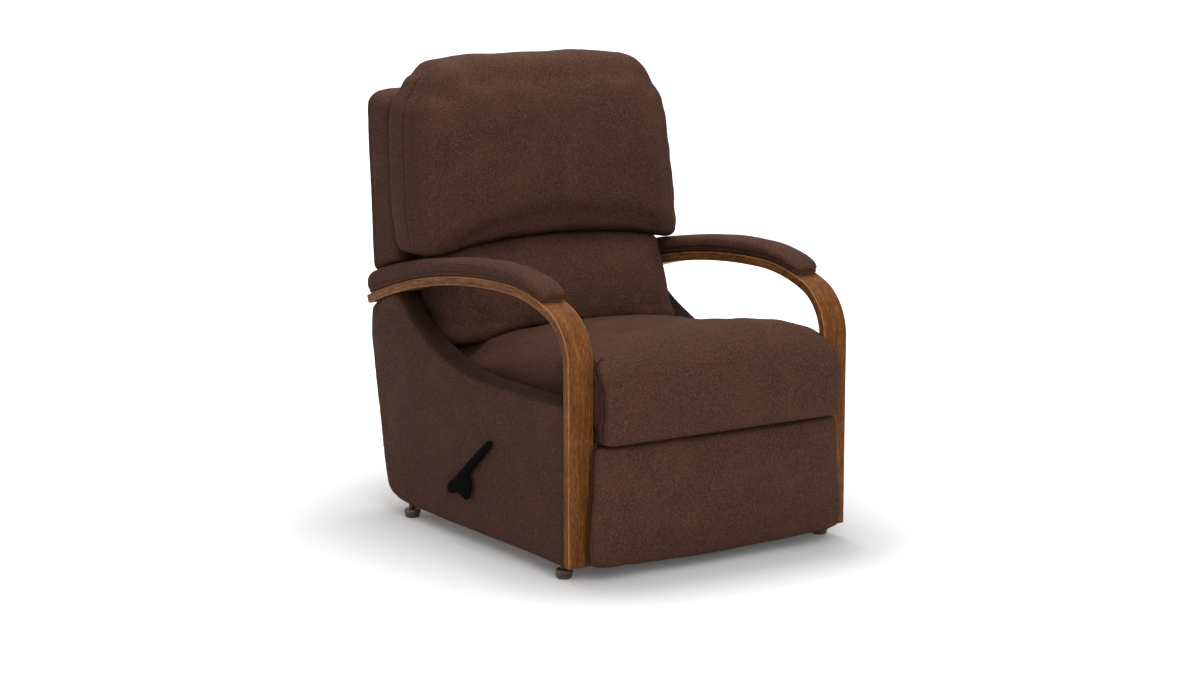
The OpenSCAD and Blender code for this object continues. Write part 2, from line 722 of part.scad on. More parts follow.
function seat_draw(u) = let (e = clamp01((abs(u) - 0.88) / 0.12)) 0.12 * pow(e, 2.2);
function seat_half_w(y) = seat_w / 2 + (roll_w - seat_w) / 2 * ease((-leg_front - 3 - y) / 12);
module seat_cushion() {
  rings = [for (u = seat_stations)
    [for (p = seat_profile(-seat_fall * pow(abs(u), 3)))
      let (
        s = 1 - seat_draw(u),
        q = [seat_eye[0] + (p[0] - seat_eye[0]) * s, p[1] > cushion_bottom ? seat_eye[1] + (p[1] - seat_eye[1]) * s : p[1]]
      )
      [u * seat_half_w(p[0]), q[0], q[1]]
    ]
  ];
  last = len(rings) - 1;
  color(hide) skin(rings, [rings[0][0][0], seat_eye[0], seat_eye[1]], [rings[last][0][0], seat_eye[0], seat_eye[1]]);
}

// Planes of the back, which leans as it rises
shell_lean = 7.1;
rear_lean = 2.8;
wing_z = 562;
function shell_front_y(z) = 331.5 + tan(shell_lean) * (z - wing_z);
function shell_rear_y(z) = 448.5 + tan(rear_lean) * (z - wing_z);
post_gap = spring_wire + 0.5;
post_bottom = back_pivot_z + 35;
post_top = shell_top - 35;
post_out = bracket_x - link_t - 0.02;
back_rail_h = 34;
mid_rail_z = wing_z + 28;
back_spring_shares = [0.18, 0.413, 0.646, 0.879];
back_spring_z = let (low = mid_rail_z + back_rail_h, high = post_top - back_rail_h)
  [for (t = back_spring_shares) low + t * (high - low)];
module leaning_box(x0, x1, z0, z1, y0, t) {
  translate([0, shell_front_y(z0), z0]) rotate([-shell_lean, 0, 0])
    translate([x0, y0, 0]) cube([x1 - x0, t, (z1 - z0) / cos(shell_lean)]);
}
bracket_bolt_z = [post_bottom + 28, post_bottom + 78];
bracket_bolt_d = 6;
function post_mid_y(z) = shell_front_y(z) + (post_gap + post_t / 2) / cos(shell_lean);
module back_frame() {
  color(raw_timber) difference() {
    union() {
      both_sides() leaning_box(post_out - post_w, post_out, post_bottom, post_top, post_gap, post_t);
      for (z = [post_bottom, mid_rail_z, post_top - back_rail_h])
        leaning_box(-post_out + 1, post_out - 1, z, z + back_rail_h, post_gap + 5, 22);
    }
    both_sides() for (z = bracket_bolt_z)
      rod_x([post_mid_y(z), z], post_out - 24, post_out + 1, bracket_bolt_d + 2 * run_fit);
  }
}
module back_springs() {
  w = post_out - post_w / 2;
  color(steel) for (z = back_spring_z)
    let (y = shell_front_y(z) + post_gap - spring_wire / 2 - 0.1)
      sinuous([-w, y, z], [w, y, z], [0, sin(shell_lean), cos(shell_lean)], 14, 8, spring_wire - 1);
}
module back_bracket(left) {
  color(steel) on_side(left) across(bracket_x - link_t, link_t) difference() {
    union() {
      polygon([
        [back_at[0] + 6, back_at[1] - 16], [back_at[0] + 14, back_at[1] + 11],
        [post_mid_y(post_bottom + 95) + 15, post_bottom + 95], [post_mid_y(post_bottom + 95) - 15, post_bottom + 95],
        [post_mid_y(post_bottom + 15) - 14, post_bottom + 15], [back_at[0] - 40, back_at[1] - 6]
      ]);
      translate(back_at) circle(r = 18);
    }
    drill_2d(back_at, back_pin_d);
    for (z = bracket_bolt_z) drill_2d([post_mid_y(z), z], bracket_bolt_d);
  }
}
module bracket_bolts() {
  color(zinc) both_sides() for (z = bracket_bolt_z) {
    rod_x([post_mid_y(z), z], post_out - 23.5, bracket_x + 0.3, bracket_bolt_d);
    rod_x([post_mid_y(z), z], bracket_x + 0.02, bracket_x + 2.2, 2 * bracket_bolt_d);
  }
}

// Back shell: a narrow middle between the panels, and a wing over each arm
low_half = post_out;
low_bottom = post_bottom - 5;
shell_eye_z = shell_top - 250;
shell_round = 14;
shell_top_round = 34;
shell_crown = 3;
wing_in = low_half + rest_gap;
shell_levels = [[1, 12], [0.95, 5], [0.86, 1.5], [0.7, 0], [0.35, 0], [0.05, 0], [0, 3]];
function shell_y(g, z) = shell_front_y(z) + g * (shell_rear_y(z) - shell_front_y(z));
function wing_bottom(g) =
  let (y = shell_y(g, wing_z))
  sweep_z(min(y, arm_rear[0]), pad_top_h(y)) + 1.5 - 4 * ease((g - 0.75) / 0.25);
function mirrored(h) = concat(h, [for (i = [len(h) - 2:-1:1]) [-h[i][0], h[i][1]]]);
function middle_outline(g) =
  let (wb = wing_bottom(g), r = shell_round, top = shell_top + shell_crown)
  mirrored(concat(
    [[0, low_bottom], [low_half * 0.5, low_bottom]],
    arc([low_half - r, low_bottom + r], r, -90, 0, 3),
    [[low_half, low_bottom + 80], [low_half, wb - 30], [low_half, wb + 10], [low_half, (wb + top) / 2]],
    [[low_half, top], [low_half * 0.5, top + 1], [0, top + 1]]
  ));
function wing_outline(g) =
  let (wb = wing_bottom(g), r = shell_round, tr = shell_top_round, w = back_half_w, top = shell_top)
  concat(
    [[wing_in, wb]],
    arc([w - r, wb + r], r, -90, 0, 3),
    [for (t = [0.25:0.25:0.75]) [w, wb + r + (top - tr - wb - r) * t]],
    arc([w - tr, top - tr], tr, 0, 90, 4),
    [for (t = [0:0.25:0.75]) [wing_in, top + shell_crown + (wb - top - shell_crown) * t]]
  );
// The rounding of the rear edges stops where the middle and a wing meet
function kept_edge(p, d, edge, low) =
  p[1] > low && abs(abs(p[0]) - edge) < d + 0.5 ? [sign(p[0]) * edge, p[1]] : p;
module shell_part(outlines, edge, eye_x) {
  rings = [for (i = [0:len(shell_levels) - 1])
    let (g = shell_levels[i][0], d = shell_levels[i][1], low = wing_bottom(g) - 1)
      [for (q = inset(outlines[i], d)) let (p = kept_edge(q, d, edge, low)) [p[0], shell_y(g, p[1]), p[1]]]
  ];
  skin(rings,
    [eye_x, shell_rear_y(shell_eye_z) + shell_crown, shell_eye_z],
    [eye_x, shell_front_y(shell_eye_z), shell_eye_z]);
}
module back_shell() {
  color(hide) difference() {
    shell_part([for (l = shell_levels) middle_outline(l[0])], low_half, 0);
    leaning_box(-post_out - 1, post_out + 1, low_bottom - 60, post_top + 2, -40, 40 + post_gap + post_t + 1);
  }
}
module back_wing(left) {
  color(hide) on_side(left) shell_part([for (l = shell_levels) wing_outline(l[0])], wing_in, (wing_in + back_half_w) / 2);
}

// Arched line where the pillow meets the lumbar cushion
arch_mid_z = wing_z + 64;
arch_side_z = wing_z + 36;
function arch_z(x) = arch_side_z + (arch_mid_z - arch_side_z) * (1 - pow(clamp01(abs(x) / 300), 2.2));
pillow_top = shell_top + pillow_rise;
pillow_eye_z = arch_side_z + 202;
pillow_sides = [[4, 0.188], [4, 0.349], [2, 0.509], [-4, 0.67]];
function half_pillow() =
  let (w = pillow_half_w, r_low = 26, r_top = 78)
  concat(
    [for (t = [0:0.2:1]) let (x = (w - r_low) * t) [x, arch_z(x)]],
    [for (a = [-60:30:0]) [w - r_low + r_low * cos(a), arch_side_z + r_low + r_low * sin(a)]],
    [for (q = pillow_sides) [w + q[0], arch_side_z + (pillow_top - arch_side_z) * q[1]]],
    arc([w - 12 - r_top, pillow_top - 12 - r_top], r_top, 8, 84, 5),
    [[w * 0.55, pillow_top - 5], [w * 0.4, pillow_top], [w * 0.2, pillow_top - 3], [0, pillow_top - 1]]
  );
pillow_levels = [
  [0, 0.955], [8, 0.985], [46, 0.99], [52, 0.978], [58, 0.99], [84, 1], [114, 1], [132, 0.985],
  [146, 0.95], [155, 0.88], [160, 0.74], [162, 0.45]
];
pillow_deep = 163;
module back_pillow() {
  side = mirrored(half_pillow());
  rings = [for (l = pillow_levels)
    [for (p = side)
      let (z = pillow_eye_z + (p[1] - pillow_eye_z) * l[1])
      [p[0] * l[1], shell_front_y(min(z, shell_top)) - rest_gap - l[0] * (1 - 0.1 * ease((z - shell_top + 50) / 130)), z]
    ]
  ];
  color(hide) skin(rings,
    [0, shell_front_y(pillow_eye_z) - rest_gap, pillow_eye_z],
    [0, shell_front_y(pillow_eye_z) - rest_gap - pillow_deep, pillow_eye_z]);
}

// Lumbar cushion, which leans more than the pillow above it
lumbar_low = seat_top + 4;
lumbar_eye_z = 510;
function lumbar_deep(z) = 190 - 0.24 * (z - lumbar_low);
function lumbar_back_y(z) = shell_front_y(z) + post_gap - rest_gap;
function half_lumbar() =
  let (w = lumbar_w / 2, r = 18)
  concat(
    [[0, lumbar_low], [w * 0.5, lumbar_low]],
    arc([w - r, lumbar_low + r], r, -90, 0, 3),
    [[w + 1, 480], [w + 1, 510], [w, 545]],
    [[w - 2, arch_z(w) - 14], [w - 10, arch_z(w) - 3]],
    [for (t = [0.9:-0.15:0.1]) [w * t, arch_z(w * t) - 2]],
    [[0, arch_z(0) - 2]]
  );
lumbar_levels = [[0, 0.97], [0.1, 1], [0.7, 1], [0.86, 0.985], [0.96, 0.95], [1.02, 0.88], [1.07, 0.74], [1.1, 0.5]];
module lumbar_cushion() {
  side = mirrored(half_lumbar());
  rings = [for (l = lumbar_levels)
    [for (p = side)
      let (z = lumbar_eye_z + (p[1] - lumbar_eye_z) * l[1])
      [p[0] * l[1], lumbar_back_y(z) - l[0] * lumbar_deep(z), z]
    ]
  ];
  color(hide) skin(rings,
    [0, lumbar_back_y(lumbar_eye_z), lumbar_eye_z],
    [0, lumbar_back_y(lumbar_eye_z) - 1.12 * lumbar_deep(lumbar_eye_z), lumbar_eye_z]);
}

// Links of the legrest
module front_link(left) {
  color(steel) on_side(left) across(swing_in, link_t) difference() {
    bar_2d(front_pivot, lower_knee, link_w);
    for (p = [front_pivot, lower_knee]) drill_2d(p, pin_d);
    drill_2d(upper_knee, pin_d);
    drill_2d(tube_at, tube_d - 4);
  }
}
module cross_tube() {
  color(zinc) difference() {
    union() {
      rod_x(tube_at, -swing_in + 0.02, swing_in - 0.02, tube_d);
      rod_x(tube_at, -swing_out, swing_out, tube_d - 4);
    }
    rod_x(tube_at, -swing_out - 1, swing_out + 1, tube_d - 8);
  }
}
module rear_link(left) {
  color(steel) on_side(left) across(swing_in, link_t) difference() {
    bar_2d(rear_pivot, rear_knee, link_w);
    for (p = [rear_pivot, rear_knee]) drill_2d(p, pin_d);
  }
}
module lower_link(left) {
  color(steel) on_side(left) across(carry_in, link_t) difference() {
    union() {
      bar_2d(rear_knee, lower_knee, link_w);
      bar_2d(lower_knee, lower_ear, link_w);
    }
    for (p = [rear_knee, lower_knee, lower_ear]) drill_2d(p, pin_d);
  }
}
module link_pin(p) {
  rod_x(p, carry_in - 0.3, swing_out, pin_d);
  rod_x(p, carry_in - 1.7, carry_in - 0.02, pin_d + 5);
  rod_x(p, carry_out + 0.1, swing_in - 0.3, pin_d + 5);
}
module lower_link_pins() {
  color(zinc) both_sides() for (p = [rear_knee, lower_knee]) link_pin(p);
}
module upper_link(left) {
  color(steel) on_side(left) across(carry_in, link_t) difference() {
    bar_2d(upper_knee, upper_ear, link_w);
    for (p = [upper_knee, upper_ear]) drill_2d(p, pin_d);
  }
}
module upper_link_pins() {
  color(zinc) both_sides() link_pin(upper_knee);
}

// Legrest board, its ears and its pad
board_front = legrest_back - legrest_board_t;
board_low = legrest_low_z + legrest_sag + 11;
board_top = legrest_top_z - 6;
ear_screw_z = [lower_ear[1] - 60, lower_ear[1] - 25];
ear_screw_x = ear_in - 13;
ear_screw_d = 4.5;
ear_flange_t = 3;
module legrest_board() {
  color(raw_timber) difference() {
    translate([-legrest_board_w / 2, board_front, board_low])
      cube([legrest_board_w, legrest_board_t, board_top - board_low]);
    both_sides() for (z = ear_screw_z)
      translate([ear_screw_x, board_front + 2, z]) rotate([-90, 0, 0])
        cylinder(h = legrest_board_t, d = ear_screw_d + 2 * run_fit);
  }
}
module legrest_bracket(left) {
  foot = legrest_back + 0.02;
  color(steel) on_side(left) difference() {
    union() {
      across(ear_in, link_t) union() {
        polygon([
          [foot, ear_screw_z[0] - 12], [foot, board_top - 4], [upper_ear[0], upper_ear[1] + 4],
          [lower_ear[0] + link_w / 2, lower_ear[1]], [foot + 6, ear_screw_z[0] - 12]
        ]);
        translate(lower_ear) circle(d = link_w);
        translate(upper_ear) circle(d = link_w);
      }
      translate([ear_screw_x - 11, foot, ear_screw_z[0] - 12])
        cube([ear_in - ear_screw_x + 11 + link_t, ear_flange_t, ear_screw_z[1] - ear_screw_z[0] + 24]);
    }
    rod_x(lower_ear, ear_in - 1, ear_out + 1, pin_d + 2 * run_fit);
    rod_x(upper_ear, ear_in - 1, ear_out + 1, pin_d + 2 * run_fit);
    for (z = ear_screw_z)
      translate([ear_screw_x, foot - 1, z]) rotate([-90, 0, 0]) cylinder(h = ear_flange_t + 2, d = ear_screw_d + 2 * run_fit);
  }
}
module legrest_pins() {
  color(zinc) both_sides() for (p = [lower_ear, upper_ear]) {
    rod_x(p, ear_in - 0.3, carry_out + 0.1, pin_d);
    rod_x(p, ear_in - 1.7, ear_in - 0.02, pin_d + 5);
    rod_x(p, ear_out + 0.1, carry_in - 0.3, pin_d + 5);
  }
}
module bracket_screws() {
  head = legrest_back + ear_flange_t + 0.04;
  color(zinc) both_sides() for (z = ear_screw_z) translate([ear_screw_x, 0, z]) {
    translate([0, board_front + 3, 0]) rotate([-90, 0, 0]) cylinder(h = head - board_front - 2, d = ear_screw_d);
    translate([0, head, 0]) rotate([-90, 0, 0]) cylinder(h = 2.4, d = 2 * ear_screw_d);
  }
}
legrest_eye_z = 160;
function half_legrest() =
  let (wt = legrest_w / 2, wl = legrest_low_w / 2, r = 24)
  concat(
    [for (t = [0:0.3:0.6]) [wl * t, legrest_low_z + legrest_sag * t * t]],
    arc([wl - r, legrest_low_z + legrest_sag + r], r, -90, 0, 3),
    [[wl - 1, 100], [(wl + wt) / 2, 150], [wt + 1, 200]],
    arc([wt - 16, legrest_top_z - 16], 16, 0, 90, 3),
    [[wt * 0.6, legrest_top_z], [wt * 0.3, legrest_top_z], [0, legrest_top_z]]
  );
legrest_levels = [[0, 0.975], [4, 0.995], [14, 1], [26, 0.99], [36, 0.955], [42, 0.89], [45.5, 0.78], [47, 0.55]];
module legrest_pad() {
  side = mirrored(half_legrest());
  k = legrest_t / 47;
  rings = [for (l = legrest_levels)
    [for (p = side) [p[0] * l[1], legrest_back - 1 - l[0] * k, legrest_eye_z + (p[1] - legrest_eye_z) * l[1]]]
  ];
  color(hide) difference() {
    skin(rings, [0, legrest_back - 1, legrest_eye_z], [0, legrest_back - 1 - legrest_t, legrest_eye_z]);
    translate([-legrest_board_w / 2 - 0.1, board_front - 0.1, board_low - 0.1])
      cube([legrest_board_w + 0.2, legrest_board_t + 10, board_top - board_low + 0.2]);
  }
}

// Handle, shaft, crank and slotted rod on the sitter's right
handle_in = panel_out + handle_gap;
handle_out = handle_in + handle_t;
handle_floor = handle_out - 5;
screw_head_d = 2 * handle_screw_d - 1;
screw_seat = handle_out - 2.6;
lobe_r = 17;
lobe_at = polar(shaft_at, 34, 190);
grip_from = polar(shaft_at, 40, handle_dir);
grip_to = polar(shaft_at, handle_len - grip_w / 2, handle_dir);
heel_at = [handle_y - 52, handle_z - 5];
module handle_lever() {
  color(black) on_side(false) difference() {
    union() {
      across(handle_in, handle_t) {
        translate(shaft_at) circle(r = lobe_r + 3);
        translate(heel_at) circle(r = lobe_r);
        polygon([
          [handle_y + 10, handle_z + 17], [handle_y - 18, handle_z - 2], heel_at + [0, -lobe_r + 6],
          heel_at + [-lobe_r, 2], grip_from + [-8, -9], grip_from + [8, 12]
        ]);
      }
      hull() for (p = [grip_from, grip_to])
        rod_x(p, handle_in + 4, handle_out - 4, grip_w, $fn = 32);
      hull() for (p = [grip_from, grip_to])
        rod_x(p, handle_in + 0.5, handle_out - 0.5, grip_w - 8, $fn = 32);
    }
    rod_x(shaft_at, handle_in - 1, handle_floor, shaft_d + 2 * run_fit);
    rod_x(shaft_at, handle_floor - 1, handle_out, handle_screw_d + 2 * run_fit);
    rod_x(shaft_at, screw_seat, handle_out + 1, screw_head_d + 2 * run_fit);
  }
}
module drive_shaft() {
  color(steel) on_side(false) difference() {
    union() {
      rod_x(shaft_at, crank_in, handle_floor - 0.02, shaft_d);
      rod_x(shaft_at, crank_out + 0.02, board_in - 3.3, shaft_d + 5);
    }
    rod_x(shaft_at, handle_out - 24, handle_out, handle_screw_d + 2 * run_fit);
  }
}
module handle_screw() {
  color(zinc) on_side(false) {
    rod_x(shaft_at, handle_out - 23, handle_out - 0.4, handle_screw_d);
    rod_x(shaft_at, screw_seat + 0.02, handle_out - 0.3, screw_head_d);
  }
}
module drive_crank() {
  color(steel) on_side(false) {
    across(crank_in, drive_t) difference() {
      union() {
        bar_2d(shaft_at, crank_at, 20);
        translate(shaft_at) circle(d = shaft_d + 12);
      }
      drill_2d(shaft_at, shaft_d);
    }
    rod_x(crank_at, rod_in - 2, crank_in, crank_pin_d);
    rod_x(crank_at, rod_in - 4, rod_in - 1.5, crank_pin_d + 6);
  }
}
slot_play = 0.6;
slot_w = crank_pin_d + 2 * slot_play;
slot_end = polar(crank_at, slide_travel + 2, 180 + track_slope);
slot_front = polar(crank_at, 1, track_slope);
module drive_rod() {
  color(steel) on_side(false) across(rod_in, drive_t) difference() {
    union() {
      bar_2d(slot_front, tube_at, rod_w);
      bar_2d(slot_front, slot_end, slot_w + 12);
      translate(tube_at) circle(d = tube_d + 14);
    }
    drill_2d(tube_at, tube_d);
    slot_2d(slot_front, slot_end, slot_w);
  }
}

side_panel(true);  // side_panel_left
side_panel(false);  // side_panel_right
side_board(true);  // side_board_left
side_board(false);  // side_board_right
arm(true);  // arm_left
arm(false);  // arm_right
arm_pad(true);  // arm_pad_left
arm_pad(false);  // arm_pad_right
arm_pad_screws();
leg_bolts();
front_rail();
rear_rail();
track(true);  // track_left
track(false);  // track_right
track_screws();
front_glides();
rear_glides();
shaft_bushing();
carriage_plate(true);  // carriage_plate_left
carriage_plate(false);  // carriage_plate_right
glide_blocks();
link_pivot_pins();
back_pivot_pins();
seat_frame();
seat_springs();
frame_bolts();
seat_cushion();
back_frame();
back_springs();
back_bracket(true);  // back_bracket_left
back_bracket(false);  // back_bracket_right
bracket_bolts();
back_shell();
back_wing(true);  // back_wing_left
back_wing(false);  // back_wing_right
back_pillow();
lumbar_cushion();
front_link(true);  // front_link_left
front_link(false);  // front_link_right
cross_tube();
rear_link(true);  // rear_link_left
rear_link(false);  // rear_link_right
lower_link(true);  // lower_link_left
lower_link(false);  // lower_link_right
lower_link_pins();
upper_link(true);  // upper_link_left
upper_link(false);  // upper_link_right
upper_link_pins();
legrest_board();
legrest_bracket(true);  // legrest_bracket_left
legrest_bracket(false);  // legrest_bracket_right
legrest_pins();
bracket_screws();
legrest_pad();
handle_lever();
drive_shaft();
drive_crank();
handle_screw();
drive_rod();
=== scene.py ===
"""Looks of a wall-saver recliner with laminated bentwood arms.

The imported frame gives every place. The classes below dress it: hide covers that a cloth
simulation fills, laminated arms, welts and stitches, the lever, fittings, room and light.
"""

import json
import logging
import math
from collections.abc import Callable, Iterable, Sequence
from dataclasses import dataclass, field
from enum import Enum

import bmesh
import bpy
import numpy as np
from mathutils import Matrix, Vector


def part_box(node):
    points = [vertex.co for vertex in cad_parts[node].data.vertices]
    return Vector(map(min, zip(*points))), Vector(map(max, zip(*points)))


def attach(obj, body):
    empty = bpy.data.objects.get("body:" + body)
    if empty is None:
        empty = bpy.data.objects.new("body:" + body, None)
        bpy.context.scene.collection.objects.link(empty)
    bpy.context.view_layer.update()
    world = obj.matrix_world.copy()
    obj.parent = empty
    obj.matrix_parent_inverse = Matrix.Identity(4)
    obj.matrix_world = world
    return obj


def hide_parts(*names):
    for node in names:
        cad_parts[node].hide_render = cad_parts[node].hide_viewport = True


LOG = logging.getLogger("recliner")
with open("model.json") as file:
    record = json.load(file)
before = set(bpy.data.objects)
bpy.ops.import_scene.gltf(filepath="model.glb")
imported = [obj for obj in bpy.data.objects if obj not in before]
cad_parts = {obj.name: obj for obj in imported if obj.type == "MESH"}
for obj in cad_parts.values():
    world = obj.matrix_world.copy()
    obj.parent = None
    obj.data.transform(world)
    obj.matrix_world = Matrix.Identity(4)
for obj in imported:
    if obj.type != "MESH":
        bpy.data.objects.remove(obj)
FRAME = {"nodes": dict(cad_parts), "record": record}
Rgb = tuple[float, float, float]
Array = np.ndarray
Line = list[Vector]
Field = Callable[[Array], Array]
Shaping = Callable[[Array, Array], Array]
Mesh, Material, Piece = bpy.types.Mesh, bpy.types.Material, bpy.types.Object
Node, Tree, Socket = bpy.types.Node, bpy.types.NodeTree, bpy.types.NodeSocket


class Side(Enum):
    """The sitter's left is +X, the sitter's right is -X."""

    LEFT = 1
    RIGHT = -1

    @property
    def word(self) -> str:
        """The ending that the frame's names have on this side."""
        return self.name.lower()


class Slot(Enum):
    """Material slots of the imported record."""

    HIDE = "upholstery"
    BENTWOOD = "bentwood"
    TIMBER = "frame_timber"
    STEEL = "mechanism_steel"
    ZINC = "zinc_steel"
    GLIDE = "glide_metal"
    LEVER = "handle_black"
    NYLON = "nylon"


# ---------------------------------------------------------------- node helpers


class Sheet:
    """A node tree being built, with short ways to add nodes and join them."""

    def __init__(self, tree: Tree) -> None:
        """Keeps the tree and clears what it holds."""
        self.tree = tree
        tree.nodes.clear()

    def add(self, kind: str, inputs: dict | None = None, **settings) -> Node:
        """Adds a node.

        Args:
            kind: Blender's name of the node.
            inputs: for a socket's name or number, a value or the socket that feeds it.
            settings: the node's own properties.

        Returns:
            The node.
        """
        node = self.tree.nodes.new(kind)
        for name, value in settings.items():
            setattr(node, name, value)
        for key, value in (inputs or {}).items():
            if isinstance(value, Socket):
                self.tree.links.new(value, node.inputs[key])
            else:
                node.inputs[key].default_value = value
        return node

    def math(self, kind: str, *values) -> Socket:
        """Adds a Math node on these values and returns its result."""
        return self.add("ShaderNodeMath", dict(enumerate(values)), operation=kind).outputs[0]

    def times(self, first: Socket | float, second: Socket | float) -> Socket:
        """Multiplies two values and returns the result."""
        return self.math("MULTIPLY", first, second)

    def group(self, tree: Tree, inputs: dict) -> Node:
        """Adds a shared group with these inputs and returns its node."""
        return self.add("ShaderNodeGroup", inputs, node_tree=tree)

    def scaled(self, vector: Socket, by: Sequence[float]) -> Socket:
        """Multiplies a vector by three numbers and returns the result."""
        node = self.add("ShaderNodeVectorMath", {0: vector, 1: tuple(by)}, operation="MULTIPLY")
        return node.outputs[0]

    def noise(self, vector: Socket, scale: float, detail: float = 3.0,
              roughness: float = 0.5) -> Socket:
        """Adds a noise and returns its value."""
        node = self.add("ShaderNodeTexNoise", {
            "Vector": vector, "Scale": scale, "Detail": detail, "Roughness": roughness})
        return node.outputs["Fac"]

    def spread(self, value: Socket, low: float, high: float,
               to_low: float = 0.0, to_high: float = 1.0) -> Socket:
        """Maps a value smoothly from one range to another and returns the result.

        Args:
            value: the value's socket.
            low: where its range starts.
            high: where its range ends.
            to_low: what it becomes at the start.
            to_high: what it becomes at the end.

        Returns:
            The result's socket.
        """
        node = self.add("ShaderNodeMapRange", {
            "Value": value, "From Min": low, "From Max": high, "To Min": to_low, "To Max": to_high},
            interpolation_type="SMOOTHSTEP")
        return node.outputs[0]

    def blend(self, share, first, second) -> Socket:
        """Mixes two colours, given as sockets or as plain colours, and returns the result."""
        one, other = (value if isinstance(value, Socket) else (*value, 1.0)
                      for value in (first, second))
        return self.add("ShaderNodeMix", {0: share, 6: one, 7: other}, data_type="RGBA").outputs[2]


SOCKETS = {"value": "NodeSocketFloat", "vector": "NodeSocketVector", "colour": "NodeSocketColor",
           "geometry": "NodeSocketGeometry", "material": "NodeSocketMaterial"}


def new_group(name: str, kind: str, inputs: dict[str, tuple], outputs: dict[str, str]) -> tuple:
    """Makes an empty node group with named sockets.

    Args:
        name: the group's name.
        kind: Blender's kind of tree.
        inputs: for each name, its kind and its default, or its kind alone.
        outputs: for each name, its kind.

    Returns:
        The sheet, the inner input node and the inner output node.
    """
    tree = bpy.data.node_groups.new(name, kind)
    for key, (sort, *default) in inputs.items():
        socket = tree.interface.new_socket(name=key, in_out="INPUT", socket_type=SOCKETS[sort])
        if default:
            socket.default_value = default[0]
    for key, sort in outputs.items():
        tree.interface.new_socket(name=key, in_out="OUTPUT", socket_type=SOCKETS[sort])
    sheet = Sheet(tree)
    return sheet, sheet.add("NodeGroupInput"), sheet.add("NodeGroupOutput")


def finish_group(sheet: Sheet, out: Node, results: dict) -> Tree:
    """Joins the results to a group's outputs and returns the group."""
    for name, socket in results.items():
        sheet.tree.links.new(socket, out.inputs[name])
    return sheet.tree


# ---------------------------------------------------------------- shader groups


